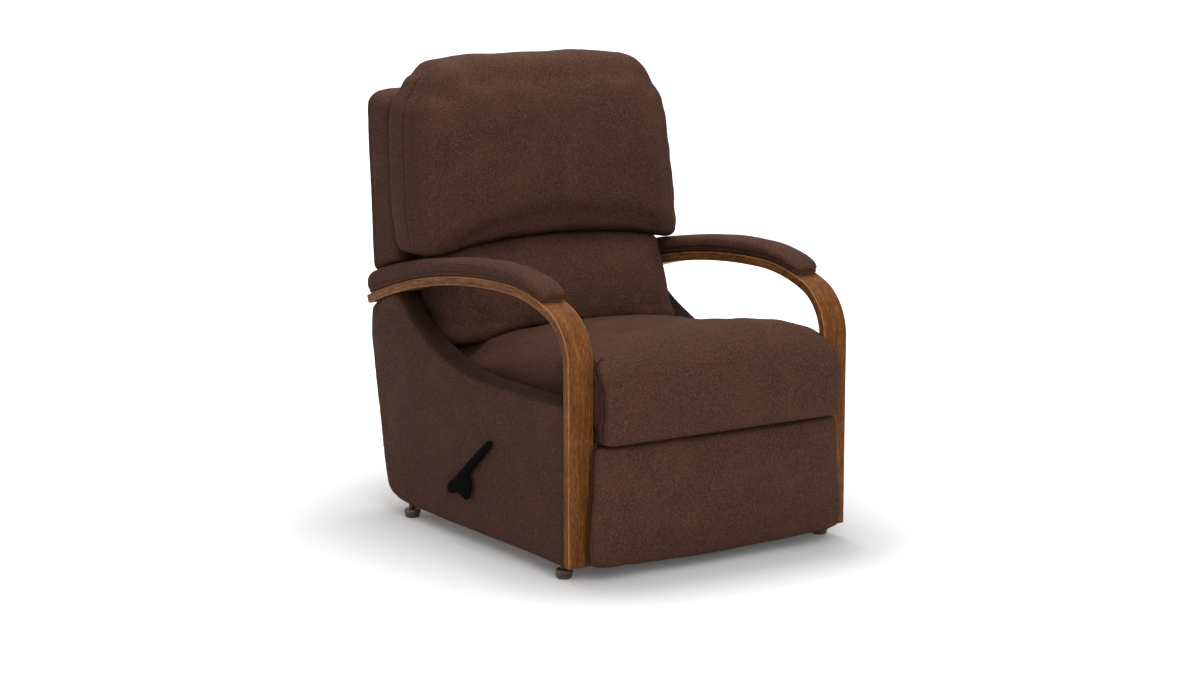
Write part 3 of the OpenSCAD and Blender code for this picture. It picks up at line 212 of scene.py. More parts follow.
class Effects:
    """Shader groups that more than one finish uses, each built once."""

    def __init__(self) -> None:
        """Builds the groups."""
        self.grain = self._grain()
        self.wear = self._wear()
        self.wood = self._wood()
        self.brushed = self._brushed()

    @staticmethod
    def _grain() -> Tree:
        """Pebbled hide: its height, fine mottle, broad blotches and the valleys between pebbles."""
        results = dict.fromkeys(("Height", "Mottle", "Blotch", "Valley"), "value")
        sheet, given, out = new_group("hide_grain", "ShaderNodeTree",
                                      {"Vector": ("vector",), "Cell": ("value", 0.003)}, results)
        per_cell = sheet.math("DIVIDE", 1.0, given.outputs["Cell"])
        cells = sheet.add("ShaderNodeVectorMath", {0: given.outputs["Vector"], "Scale": per_cell},
                          operation="SCALE").outputs[0]
        warp = sheet.add("ShaderNodeTexNoise", {"Vector": cells, "Scale": 0.6, "Detail": 2.0})
        bent = sheet.add("ShaderNodeVectorMath", {
            0: warp.outputs["Color"], 1: (0.9, 0.9, 0.9), 2: cells},
            operation="MULTIPLY_ADD").outputs[0]
        pebbles = sheet.add("ShaderNodeTexVoronoi", {"Vector": bent, "Scale": 1.0},
                            feature="DISTANCE_TO_EDGE").outputs["Distance"]
        crown = sheet.spread(pebbles, 0.0, 0.32)
        fine = sheet.noise(cells, 2.6, 2.0)
        mottle = sheet.noise(given.outputs["Vector"], 210.0, 4.0, 0.72)
        folds = sheet.noise(given.outputs["Vector"], 32.0, 3.0, 0.55)
        blotch = sheet.noise(given.outputs["Vector"], 11.0, 3.0, 0.55)
        height = sheet.math("MULTIPLY_ADD", crown, 0.6, sheet.math(
            "MULTIPLY_ADD", fine, 0.25, sheet.times(folds, 0.6)))
        return finish_group(sheet, out, {"Height": height, "Mottle": mottle, "Blotch": blotch,
                                         "Valley": sheet.spread(pebbles, 0.16, 0.0)})

    @staticmethod
    def _wear() -> Tree:
        """Rubbed edges, from how sharply the surface turns."""
        sheet, given, out = new_group("edge_wear", "ShaderNodeTree", {
            "Vector": ("vector",), "Reach": ("value", 0.06)}, {"Edge": "value"})
        turn = sheet.add("ShaderNodeNewGeometry").outputs["Pointiness"]
        bitten = sheet.noise(given.outputs["Vector"], 60.0, 3.0, 0.6)
        edge = sheet.math("DIVIDE", sheet.math("SUBTRACT", turn, 0.5), given.outputs["Reach"])
        edge = sheet.times(edge, sheet.spread(bitten, 0.3, 0.7, 0.4, 1.2))
        edge = sheet.add("ShaderNodeClamp", {0: edge}).outputs[0]
        return finish_group(sheet, out, {"Edge": edge})

    @staticmethod
    def _wood() -> Tree:
        """Wood whose grain runs along the vector's first axis, in plies across its third."""
        results = dict.fromkeys(("Figure", "Pores", "Ply line", "Ply tone"), "value")
        sheet, given, out = new_group("wood_grain", "ShaderNodeTree",
                                      {"Vector": ("vector",), "Ply": ("value", 0.0029)}, results)
        vector = given.outputs["Vector"]
        wide = sheet.noise(sheet.scaled(vector, (5.0, 70.0, 70.0)), 1.0, 4.0, 0.6)
        streak = sheet.noise(sheet.scaled(vector, (26.0, 520.0, 520.0)), 1.0, 3.0, 0.62)
        pores = sheet.noise(sheet.scaled(vector, (120.0, 900.0, 900.0)), 1.0, 3.0, 0.6)
        fleck = sheet.noise(sheet.scaled(vector, (70.0, 240.0, 240.0)), 1.0, 3.0, 0.65)
        figure = sheet.math("MULTIPLY_ADD", streak, 0.35, sheet.math(
            "MULTIPLY_ADD", fleck, 0.35, sheet.times(wide, 0.30)))
        depth = sheet.math("DIVIDE", sheet.add("ShaderNodeSeparateXYZ", {0: vector}).outputs[2],
                           given.outputs["Ply"])
        share = sheet.math("ABSOLUTE", sheet.math("SUBTRACT", sheet.math("FRACT", depth), 0.5))
        tone = sheet.add("ShaderNodeTexWhiteNoise", {1: sheet.math("FLOOR", depth)},
                         noise_dimensions="1D").outputs["Value"]
        return finish_group(sheet, out, {
            "Figure": figure, "Pores": sheet.spread(pores, 0.56, 0.68),
            "Ply line": sheet.spread(share, 0.43, 0.5), "Ply tone": tone})

    @staticmethod
    def _brushed() -> Tree:
        """Rolled or brushed metal: long scratches and broad smudges."""
        sheet, given, out = new_group("brushed_metal", "ShaderNodeTree", {"Vector": ("vector",)},
                                      {"Scratch": "value", "Smudge": "value"})
        drawn = sheet.scaled(given.outputs["Vector"], (300.0, 40.0, 900.0))
        scratch = sheet.noise(drawn, 1.0, 3.0, 0.6)
        smudge = sheet.noise(given.outputs["Vector"], 28.0, 3.0, 0.55)
        return finish_group(sheet, out, {"Scratch": scratch, "Smudge": smudge})


def new_material(name: str) -> tuple[Material, Sheet, Node]:
    """Makes a material with an empty surface shader.

    Args:
        name: the material's name.

    Returns:
        The material, its sheet and its Principled shader.
    """
    material = bpy.data.materials.new(name)
    material.use_nodes = True
    sheet = Sheet(material.node_tree)
    shader = sheet.add("ShaderNodeBsdfPrincipled")
    sheet.add("ShaderNodeOutputMaterial", {"Surface": shader.outputs[0]})
    return material, sheet, shader


def object_vector(sheet: Sheet) -> Socket:
    """Returns the object's own coordinates, in metres."""
    return sheet.add("ShaderNodeTexCoord").outputs["Object"]


def plain(shader: Node, **values: float) -> None:
    """Sets values that are the same all over a surface, on the shader's own sockets.

    Args:
        shader: the Principled shader.
        values: roughness, metallic, sheen or specular.
    """
    names = {"roughness": "Roughness", "metallic": "Metallic", "sheen": "Sheen Weight",
             "specular": "Specular IOR Level"}
    for key, value in values.items():
        shader.inputs[names[key]].default_value = value


def feed(sheet: Sheet, shader: Node, colour: Socket, relief: tuple | None = None,
         rough: Socket | None = None) -> None:
    """Joins what changes over a surface to its shader.

    Args:
        sheet: the material's sheet.
        shader: its Principled shader.
        colour: the base colour.
        relief: the height's socket, the bump's strength and its distance.
        rough: the roughness.
    """
    sheet.tree.links.new(colour, shader.inputs["Base Color"])
    if rough is not None:
        sheet.tree.links.new(rough, shader.inputs["Roughness"])
    if relief is not None:
        height, strength, distance = relief
        bump = sheet.add("ShaderNodeBump", {
            "Height": height, "Strength": strength, "Distance": distance})
        sheet.tree.links.new(bump.outputs[0], shader.inputs["Normal"])


@dataclass(frozen=True)
class HideFinish:
    """Matt grained hide with fine mottling and reddish pulled-up places."""

    name: str
    dark: Rgb
    mid: Rgb
    warm: Rgb
    speck: Rgb
    cell: float = 0.0030
    bump: float = 0.0010
    gloss: float = 0.05

    def material(self, effects: Effects) -> Material:
        """Builds the material from the shared groups.

        Args:
            effects: the shared groups.

        Returns:
            The material.
        """
        material, sheet, shader = new_material(self.name)
        vector = object_vector(sheet)
        grain = sheet.group(effects.grain, {"Vector": vector, "Cell": self.cell})
        wear = sheet.group(effects.wear, {"Vector": vector})
        crease = sheet.add("ShaderNodeAttribute", attribute_name="crease").outputs["Fac"]
        mottle = sheet.spread(grain.outputs["Mottle"], 0.30, 0.66)
        colour = sheet.blend(mottle, self.dark, self.mid)
        blotch = sheet.spread(grain.outputs["Blotch"], 0.42, 0.76, 0.0, 0.40)
        colour = sheet.blend(blotch, colour, self.warm)
        valley = sheet.times(grain.outputs["Valley"], 0.30)
        colour = sheet.blend(valley, colour, self.dark)
        speck = sheet.spread(sheet.noise(vector, 400.0, 3.0, 0.75), 0.50, 0.67, 0.0, 0.85)
        colour = sheet.blend(speck, colour, self.speck)
        colour = sheet.blend(sheet.times(wear.outputs["Edge"], 0.35), colour, self.warm)
        # Painted shade: the attribute read above darkens the hide in seam grooves, on the side
        # panels' tops and at the lumbar cushion's bottom.
        shade = sheet.times(crease, 0.75)
        colour = sheet.blend(shade, colour, tuple(0.35 * c for c in self.dark))
        feed(sheet, shader, colour, (grain.outputs["Height"], 0.55, self.bump),
             sheet.spread(grain.outputs["Mottle"], 0.3, 0.7, 0.80, 0.66))
        plain(shader, specular=self.gloss)
        return material


@dataclass(frozen=True)
class BentwoodFinish:
    """Stained laminate under satin lacquer; the grain follows the strip."""

    name: str
    dark: Rgb
    mid: Rgb
    light: Rgb
    # edge: the colour of the painted highlight along the strip's rounded long edges.
    edge: Rgb

    def material(self, effects: Effects) -> Material:
        """Builds the material from the strip's own coordinates.

        Args:
            effects: the shared groups.

        Returns:
            The material.
        """
        material, sheet, shader = new_material(self.name)
        strip = sheet.add("ShaderNodeAttribute", attribute_name="strip").outputs["Vector"]
        edge = sheet.add("ShaderNodeAttribute", attribute_name="edge").outputs["Fac"]
        wood = sheet.group(effects.wood, {"Vector": strip})
        figure = sheet.spread(wood.outputs["Figure"], 0.38, 0.60)
        colour = sheet.blend(figure, self.dark, self.mid)
        light = sheet.spread(wood.outputs["Figure"], 0.50, 0.66, 0.0, 0.85)
        colour = sheet.blend(light, colour, self.light)
        colour = sheet.blend(sheet.times(wood.outputs["Pores"], 0.5), colour,
                             tuple(0.5 * c for c in self.dark))
        tone = sheet.spread(wood.outputs["Ply tone"], 0.0, 1.0, 0.0, 0.25)
        colour = sheet.blend(tone, colour, self.dark)
        colour = sheet.blend(sheet.times(wood.outputs["Ply line"], 0.45), colour,
                             tuple(0.6 * c for c in self.dark))
        # Painted highlight: the rounded long edges, from the edge attribute, lighten towards the
        # edge colour, more where the figure is high.
        rubbed = sheet.times(edge, sheet.spread(figure, 0.0, 1.0, 0.45, 0.95))
        colour = sheet.blend(rubbed, colour, self.edge)
        relief = sheet.math("SUBTRACT", figure, sheet.times(wood.outputs["Pores"], 0.8))
        relief = sheet.math("SUBTRACT", relief, sheet.times(wood.outputs["Ply line"], 0.6))
        feed(sheet, shader, colour, (relief, 0.35, 0.0003),
             sheet.spread(figure, 0.0, 1.0, 0.5, 0.4))
        plain(shader, specular=0.05)
        return material


@dataclass(frozen=True)
class TimberFinish:
    """Bare sawn timber or plywood of the hidden frame."""

    name: str
    light: Rgb
    dark: Rgb
    turn: tuple[float, float, float] = (0.0, 0.0, 0.0)
    ply: float = 0.05

    def material(self, effects: Effects) -> Material:
        """Builds the material; turn brings the grain's direction to the first axis.

        Args:
            effects: the shared groups.

        Returns:
            The material.
        """
        material, sheet, shader = new_material(self.name)
        vector = sheet.add("ShaderNodeMapping", {
            "Vector": object_vector(sheet), "Rotation": self.turn}).outputs[0]
        wood = sheet.group(effects.wood, {"Vector": vector, "Ply": self.ply})
        wear = sheet.group(effects.wear, {"Vector": vector})
        figure = sheet.spread(wood.outputs["Figure"], 0.35, 0.65)
        colour = sheet.blend(figure, self.light, self.dark)
        colour = sheet.blend(sheet.times(wood.outputs["Pores"], 0.4), colour,
                             tuple(0.55 * c for c in self.dark))
        tone = sheet.spread(wood.outputs["Ply tone"], 0.0, 1.0, 0.0, 0.4)
        colour = sheet.blend(tone, colour, self.dark)
        colour = sheet.blend(sheet.times(wear.outputs["Edge"], 0.4), colour, self.light)
        feed(sheet, shader, colour, (wood.outputs["Figure"], 0.4, 0.0005))
        plain(shader, roughness=0.75)
        return material


@dataclass(frozen=True)
class MetalFinish:
    """Steel, zinc or painted metal with scratches, smudges and rubbed edges."""

    name: str
    base: Rgb
    rubbed: Rgb
    metallic: float
    rough: tuple[float, float]
    wear: float = 0.5

    def material(self, effects: Effects) -> Material:
        """Builds the material from the shared groups.

        Args:
            effects: the shared groups.

        Returns:
            The material.
        """
        material, sheet, shader = new_material(self.name)
        vector = object_vector(sheet)
        metal = sheet.group(effects.brushed, {"Vector": vector})
        wear = sheet.group(effects.wear, {"Vector": vector})
        dull = tuple(0.7 * c for c in self.base)
        colour = sheet.blend(sheet.spread(metal.outputs["Smudge"], 0.35, 0.7), self.base, dull)
        colour = sheet.blend(sheet.times(wear.outputs["Edge"], self.wear), colour, self.rubbed)
        feed(sheet, shader, colour, (metal.outputs["Scratch"], 0.25, 0.0002),
             sheet.spread(metal.outputs["Smudge"], 0.3, 0.7, *self.rough))
        plain(shader, metallic=self.metallic)
        return material


@dataclass(frozen=True)
class PlasticFinish:
    """Moulded plastic or nylon with a fine even texture."""

    name: str
    base: Rgb
    rubbed: Rgb
    rough: tuple[float, float]
    gloss: float = 0.4

    def material(self, effects: Effects) -> Material:
        """Builds the material from the shared groups.

        Args:
            effects: the shared groups.

        Returns:
            The material.
        """
        material, sheet, shader = new_material(self.name)
        plain(shader, specular=self.gloss)
        vector = object_vector(sheet)
        wear = sheet.group(effects.wear, {"Vector": vector})
        colour = sheet.blend(sheet.times(wear.outputs["Edge"], 0.5), self.base, self.rubbed)
        feed(sheet, shader, colour, (sheet.noise(vector, 900.0, 2.0), 0.3, 0.0002),
             sheet.spread(sheet.noise(vector, 35.0, 3.0), 0.3, 0.7, *self.rough))
        return material


@dataclass(frozen=True)
class ThreadFinish:
    """Twisted sewing thread."""

    name: str
    light: Rgb
    dark: Rgb

    def material(self, effects: Effects) -> Material:
        """Builds the material; effects aren't needed for it.

        Args:
            effects: the shared groups, not used.

        Returns:
            The material.
        """
        material, sheet, shader = new_material(self.name)
        twist = sheet.noise(object_vector(sheet), 1400.0, 1.0)
        feed(sheet, shader, sheet.blend(sheet.spread(twist, 0.35, 0.65), self.dark, self.light))
        plain(shader, roughness=0.7, sheen=0.2)
        return material


class Finishes:
    """Every material of the chair, built once."""

    def __init__(self) -> None:
        """Builds the shared groups and the materials."""
        effects = Effects()

        def made(finish) -> Material:
            """Builds one finish's material."""
            return finish.material(effects)

        self.hide = made(HideFinish(
            "grained_hide", dark=(0.034, 0.0157, 0.0110), mid=(0.075, 0.0345, 0.0225),
            warm=(0.101, 0.0400, 0.0245), speck=(0.142, 0.0750, 0.0470)))
        self.thread = made(ThreadFinish("brown_thread", (0.13, 0.058, 0.038), (0.05, 0.025, 0.018)))
        # The bentwood's edge colour is its painted highlight on the rounded edges.
        self.bentwood = made(BentwoodFinish(
            "stained_laminate", dark=(0.084, 0.0280, 0.0080), mid=(0.224, 0.0825, 0.0220),
            light=(0.350, 0.1450, 0.0420), edge=(0.44, 0.225, 0.100)))
        self.plywood = made(TimberFinish("plywood", (0.60, 0.40, 0.21), (0.40, 0.23, 0.10),
                                         turn=(0.0, 0.0, math.pi / 2), ply=0.0018))
        self.by_slot = {
            Slot.HIDE: self.hide,
            Slot.BENTWOOD: self.bentwood,
            Slot.TIMBER: made(TimberFinish("sawn_timber", (0.62, 0.41, 0.21), (0.42, 0.24, 0.10))),
            Slot.STEEL: made(MetalFinish("dull_steel", (0.147, 0.155, 0.171), (0.36, 0.36, 0.37),
                                         1.0, (0.38, 0.55))),
            Slot.ZINC: made(MetalFinish("zinc_plate", (0.343, 0.343, 0.367), (0.5, 0.5, 0.52),
                                        1.0, (0.28, 0.45))),
            Slot.GLIDE: made(MetalFinish("bronzed_metal", (0.056, 0.040, 0.030), (0.22, 0.16, 0.12),
                                         0.6, (0.35, 0.6))),
            Slot.LEVER: made(PlasticFinish("black_moulding", (0.0045, 0.0045, 0.005),
                                           (0.012, 0.012, 0.013), (0.5, 0.65), gloss=0.004)),
            Slot.NYLON: made(PlasticFinish("natural_nylon", (0.71, 0.69, 0.6), (0.8, 0.78, 0.7),
                                           (0.35, 0.5))),
        }


FINISH = Finishes()


# ---------------------------------------------------------------- mesh helpers


def new_object(name: str, mesh: Mesh,
               material: Material | None = None) -> Piece:
    """Puts a mesh into the scene as an object of this name and returns it.

    Args:
        name: the object's name.
        mesh: its mesh.
        material: its material, if it gets one now.

    Returns:
        The object.
    """
    piece = bpy.data.objects.new(name, mesh)
    bpy.context.scene.collection.objects.link(piece)
    mesh.name = name
    if material is not None:
        mesh.materials.clear()
        mesh.materials.append(material)
    return piece


def from_faces(name: str, points: Sequence, faces: Sequence, material: Material) -> Piece:
    """Makes a smoothly shaded object of points and faces, with outward faces, and returns it.

    Args:
        name: the object's name.
        points: the points.
        faces: for each face, the numbers of its points.
        material: its material.

    Returns:
        The object.
    """
    mesh = bpy.data.meshes.new(name)
    mesh.from_pydata([tuple(p) for p in points], [], [tuple(f) for f in faces])
    work = bmesh.new()
    work.from_mesh(mesh)
    bmesh.ops.recalc_face_normals(work, faces=work.faces)
    for face in work.faces:
        face.smooth = True
    work.to_mesh(mesh)
    work.free()
    return new_object(name, mesh, material)


def tube_faces(rings: int, ring: int) -> list[tuple[int, ...]]:
    """Returns the faces of a tube of point rings, closed at both ends.

    Args:
        rings: how many rings there are.
        ring: how many points each has.

    Returns:
        The faces.
    """
    faces = [(a + i, a + (i + 1) % ring, a + ring + (i + 1) % ring, a + ring + i)
             for a in range(0, (rings - 1) * ring, ring) for i in range(ring)]
    return faces + [tuple(range(ring)), tuple((rings - 1) * ring + i for i in range(ring))]


def coords(mesh: Mesh) -> Array:
    """Returns a mesh's points as rows of three."""
    values = np.empty(len(mesh.vertices) * 3)
    mesh.vertices.foreach_get("co", values)
    return values.reshape(-1, 3)


def normals(mesh: Mesh) -> Array:
    """Returns the outward direction at each point of a mesh."""
    values = np.empty(len(mesh.vertices) * 3)
    mesh.vertex_normals.foreach_get("vector", values)
    return values.reshape(-1, 3)


def place(mesh: Mesh, points: Array) -> None:
    """Moves a mesh's points to these places."""
    mesh.vertices.foreach_set("co", np.ascontiguousarray(points, dtype=np.float64).ravel())
    mesh.update()


def mark(mesh: Mesh, name: str, values: Array) -> None:
    """Stores a number or a vector per point under a name that the materials read."""
    kind, key = ("FLOAT_VECTOR", "vector") if values.ndim == 2 else ("FLOAT", "value")
    layer = mesh.attributes.get(name) or mesh.attributes.new(name, kind, "POINT")
    layer.data.foreach_set(key, values.astype(np.float32).ravel())


def evaluated(piece: Piece) -> Mesh:
    """Returns a new plain mesh of an object with its modifiers applied."""
    graph = bpy.context.evaluated_depsgraph_get()
    return bpy.data.meshes.new_from_object(piece.evaluated_get(graph))


def settle(piece: Piece) -> None:
    """Applies an object's modifiers to its mesh."""
    mesh = evaluated(piece)
    piece.modifiers.clear()
    old, piece.data = piece.data, mesh
    bpy.data.meshes.remove(old)
    mesh.name = piece.name


def relax(mesh: Mesh, rounds: int, share: float = 0.5) -> None:
    """Evens out a mesh by moving each point towards its neighbours' mean.

    Args:
        mesh: the mesh.
        rounds: how often.
        share: how much of the way each time.
    """
    edges = np.empty(len(mesh.edges) * 2, dtype=np.int32)
    mesh.edges.foreach_get("vertices", edges)
    edges = edges.reshape(-1, 2)
    points = coords(mesh)
    count = np.bincount(edges.ravel(), minlength=len(points))[:, None]
    for _ in range(rounds):
        total = np.zeros_like(points)
        for axis in range(3):
            total[:, axis] = (np.bincount(edges[:, 0], points[edges[:, 1], axis], len(points))
                              + np.bincount(edges[:, 1], points[edges[:, 0], axis], len(points)))
        points += share * (total / np.maximum(count, 1) - points)
    place(mesh, points)


def reskin(piece: Piece, voxel: float, rounds: int, material: Material) -> None:
    """Makes one even skin of what an object holds, in this material.

    Args:
        piece: the object.
        voxel: the size of the grid that the skin follows.
        rounds: how often it is evened out.
        material: its material.
    """
    voxels = piece.modifiers.new("voxels", "REMESH")
    voxels.mode, voxels.voxel_size = "VOXEL", voxel
    settle(piece)
    piece.data.materials.clear()
    piece.data.materials.append(material)
    relax(piece.data, rounds)


@dataclass(frozen=True)
class Ripple:
    """A smooth random height over space, the same at every run."""

    seed: int
    short: float
    long: float
    count: int = 14

    def at(self, points: Array) -> Array:
        """Returns the height at each point, about -1 to 1.

        Args:
            points: the points, in rows of three.

        Returns:
            The heights.
        """
        draw = np.random.RandomState(self.seed)
        way = draw.normal(size=(self.count, 3))
        way /= np.linalg.norm(way, axis=1)[:, None]
        length = draw.uniform(self.short, self.long, self.count)
        phase = draw.uniform(0, 2 * math.pi, self.count)
        waves = np.sin(points @ (way * (2 * math.pi / length)[:, None]).T + phase)
        return waves.sum(axis=1) / math.sqrt(self.count / 2) / 1.6


SHORTEST_LINE = 8


def level_lines(mesh: Mesh, values: Array, level: float = 0.0,
                where: Field | None = None) -> list[tuple[Line, bool]]:
    """Follows the lines on a mesh where a value per point equals a level.

    Args:
        mesh: the mesh.
        values: a number for each of its points.
        level: the number to follow.
        where: tells for rows of points which of them to keep.

    Returns:
        Each line's points, and whether it closes.
    """
    ends = np.empty(len(mesh.edges) * 2, dtype=np.int32)
    mesh.edges.foreach_get("vertices", ends)
    ends = ends.reshape(-1, 2)
    points = coords(mesh)
    low, high = values[ends[:, 0]] - level, values[ends[:, 1]] - level
    cut = np.nonzero((low < 0) != (high < 0))[0]
    share = (low[cut] / (low[cut] - high[cut]))[:, None]
    crossing = points[ends[cut, 0]] * (1 - share) + points[ends[cut, 1]] * share
    kept = np.ones(len(cut), bool) if where is None else where(crossing)
    number = {int(e): i for i, e in enumerate(cut) if kept[i]}
    links: dict[int, list[int]] = {}
    for face in mesh.polygons:
        found = [number[mesh.loops[k].edge_index] for k in face.loop_indices
                 if mesh.loops[k].edge_index in number]
        if len(found) == 2:
            links.setdefault(found[0], []).append(found[1])
            links.setdefault(found[1], []).append(found[0])
    lines, left = [], set(links)
    starts = [i for i in sorted(links) if len(links[i]) == 1] + sorted(links)
    for start in starts:
        if start not in left:
            continue
        left.discard(start)
        chain, here = [start], start
        while True:
            ahead = [i for i in links[here] if i in left]
            if not ahead:
                break
            here = ahead[0]
            left.discard(here)
            chain.append(here)
        closed = len(chain) > 3 and chain[0] in links[chain[-1]] and len(links[chain[0]]) > 1
        if len(chain) > SHORTEST_LINE:
            lines.append(([Vector(crossing[i]) for i in chain], closed))
    return lines


def even_line(line: Line, closed: bool, pitch: float, rounds: int = 3) -> Line:
    """Smooths a line and spaces its points evenly.

    Args:
        line: the points.
        closed: whether the last point joins the first.
        pitch: the spacing, in metres.
        rounds: how often it is smoothed.

    Returns:
        The new points.
    """
    points = np.array([tuple(p) for p in line])
    for _ in range(rounds):
        before, after = np.roll(points, 1, 0), np.roll(points, -1, 0)
        mean = (before + after + 2 * points) / 4
        if not closed:
            mean[0], mean[-1] = points[0], points[-1]
        points = mean
    if closed:
        points = np.vstack([points, points[:1]])
    run = np.concatenate([[0], np.cumsum(np.linalg.norm(np.diff(points, axis=0), axis=1))])
    count = max(int(run[-1] / pitch), 3)
    marks = np.linspace(0, run[-1], count + 1)
    if closed:
        marks = marks[:-1]
    spaced = np.stack([np.interp(marks, run, points[:, k]) for k in range(3)], axis=1)
    return [Vector(p) for p in spaced]


# ---------------------------------------------------------------- geometry nodes


class Trims:
    """Geometry Nodes trees for what follows a sewn line or repeats."""

    def __init__(self) -> None:
        """Builds the trees."""
        self.stitches = self._stitches()
        self.welt = self._welt()

    @staticmethod
    def _stitches() -> Tree:
        """Thread stitches of one length laid head to tail along a line."""
        sheet, given, out = new_group("stitches", "GeometryNodeTree", {
            "Geometry": ("geometry",), "Pitch": ("value", 0.005), "Length": ("value", 0.0036),
            "Thickness": ("value", 0.0011), "Material": ("material",)}, {"Geometry": "geometry"})
        path = sheet.add("GeometryNodeMeshToCurve", {0: given.outputs["Geometry"]})
        spaced = sheet.add("GeometryNodeResampleCurve", {"Curve": path.outputs[0]}, mode="LENGTH")
        sheet.tree.links.new(given.outputs["Pitch"], spaced.inputs["Length"])
        grain = sheet.add("GeometryNodeMeshUVSphere", {"Segments": 6, "Rings": 4, "Radius": 0.5})
        thickness = given.outputs["Thickness"]
        size = sheet.add("ShaderNodeCombineXYZ", {
            0: given.outputs["Length"], 1: thickness, 2: thickness})
        stitch = sheet.add("GeometryNodeTransform", {
            "Geometry": grain.outputs[0], "Scale": size.outputs[0]})
        along = sheet.add("GeometryNodeInputTangent")
        turn = sheet.add("FunctionNodeAlignRotationToVector", {"Vector": along.outputs[0]},
                         axis="X")
        laid = sheet.add("GeometryNodeInstanceOnPoints", {
            "Points": spaced.outputs[0], "Instance": stitch.outputs[0],
            "Rotation": turn.outputs[0]})
        return Trims._close(sheet, given, out, laid)

    @staticmethod
    def _welt() -> Tree:
        """A covered cord that follows a line."""
        sheet, given, out = new_group("welt", "GeometryNodeTree", {
            "Geometry": ("geometry",), "Radius": ("value", 0.002), "Material": ("material",)},
            {"Geometry": "geometry"})
        path = sheet.add("GeometryNodeMeshToCurve", {0: given.outputs["Geometry"]})
        ring = sheet.add("GeometryNodeCurvePrimitiveCircle", {"Resolution": 10}, mode="RADIUS")
        sheet.tree.links.new(given.outputs["Radius"], ring.inputs["Radius"])
        tube = sheet.add("GeometryNodeCurveToMesh", {
            "Curve": path.outputs[0], "Profile Curve": ring.outputs[0], "Fill Caps": True})
        soft = sheet.add("GeometryNodeSetShadeSmooth", {"Geometry": tube.outputs[0]})
        return Trims._close(sheet, given, out, soft)

    @staticmethod
    def _close(sheet: Sheet, given: Node, out: Node,
               made: Node) -> Tree:
        """Makes what a tree has laid real, gives it the material and returns the tree.

        Args:
            sheet: the tree's sheet.
            given: its input node.
            out: its output node.
            made: the node whose result is used.

        Returns:
            The tree.
        """
        real = sheet.add("GeometryNodeRealizeInstances", {0: made.outputs[0]})
        dressed = sheet.add("GeometryNodeSetMaterial", {"Geometry": real.outputs[0],
                                                        "Material": given.outputs["Material"]})
        return finish_group(sheet, out, {"Geometry": dressed.outputs[0]})

    @staticmethod
    def grow(name: str, lines: Sequence[tuple[Line, bool]], tree: Tree,
             **values) -> Piece:
        """Runs a tree along lines and keeps the result as a plain mesh.

        Args:
            name: the new piece's name.
            lines: the points of each line, and whether it closes.
            tree: the tree.
            values: the tree's named inputs, with spaces as underscores.

        Returns:
            The piece.
        """
        points, edges = [], []
        for line, closed in lines:
            first = len(points)
            points += [tuple(p) for p in line]
            edges += [(i, i + 1) for i in range(first, len(points) - 1)]
            if closed:
                edges.append((len(points) - 1, first))
        mesh = bpy.data.meshes.new(name)
        mesh.from_pydata(points, edges, [])
        piece = new_object(name, mesh)
        modifier = piece.modifiers.new("trim", "NODES")
        modifier.node_group = tree
        for item in tree.interface.items_tree:
            key = item.name.replace(" ", "_").lower()
            if item.item_type == "SOCKET" and item.in_out == "INPUT" and key in values:
                modifier[item.identifier] = values[key]
        settle(piece)
        return piece


TRIMS = Trims()


# ---------------------------------------------------------------- soft covers


@dataclass(frozen=True)
class Filling:
    """How a cover is cut and filled."""

    voxel: float = 0.008
    inset: float = 0.006
    smooth: int = 4
    pressure: float = 4.0
    slack: float = 0.015
    cap: float = 0.012
    fill: float = 0.8
    frames: int = 20


@dataclass
class Seam:
    """A sewn line where a field, in metres, is zero."""

    name: str
    field: Field
    depth: float = 0.004
    width: float = 0.005
    pucker: float = 0.0
    # dark: how strong the painted shade in the seam's groove is.
    dark: float = 1.0
    wave: tuple[float, float] = (0.018, 0.04)
    reach: float = 0.03
    where: Field | None = None
    stitched: Sequence[float] = ()
    welt: float = 0.0
    seed: int = 1


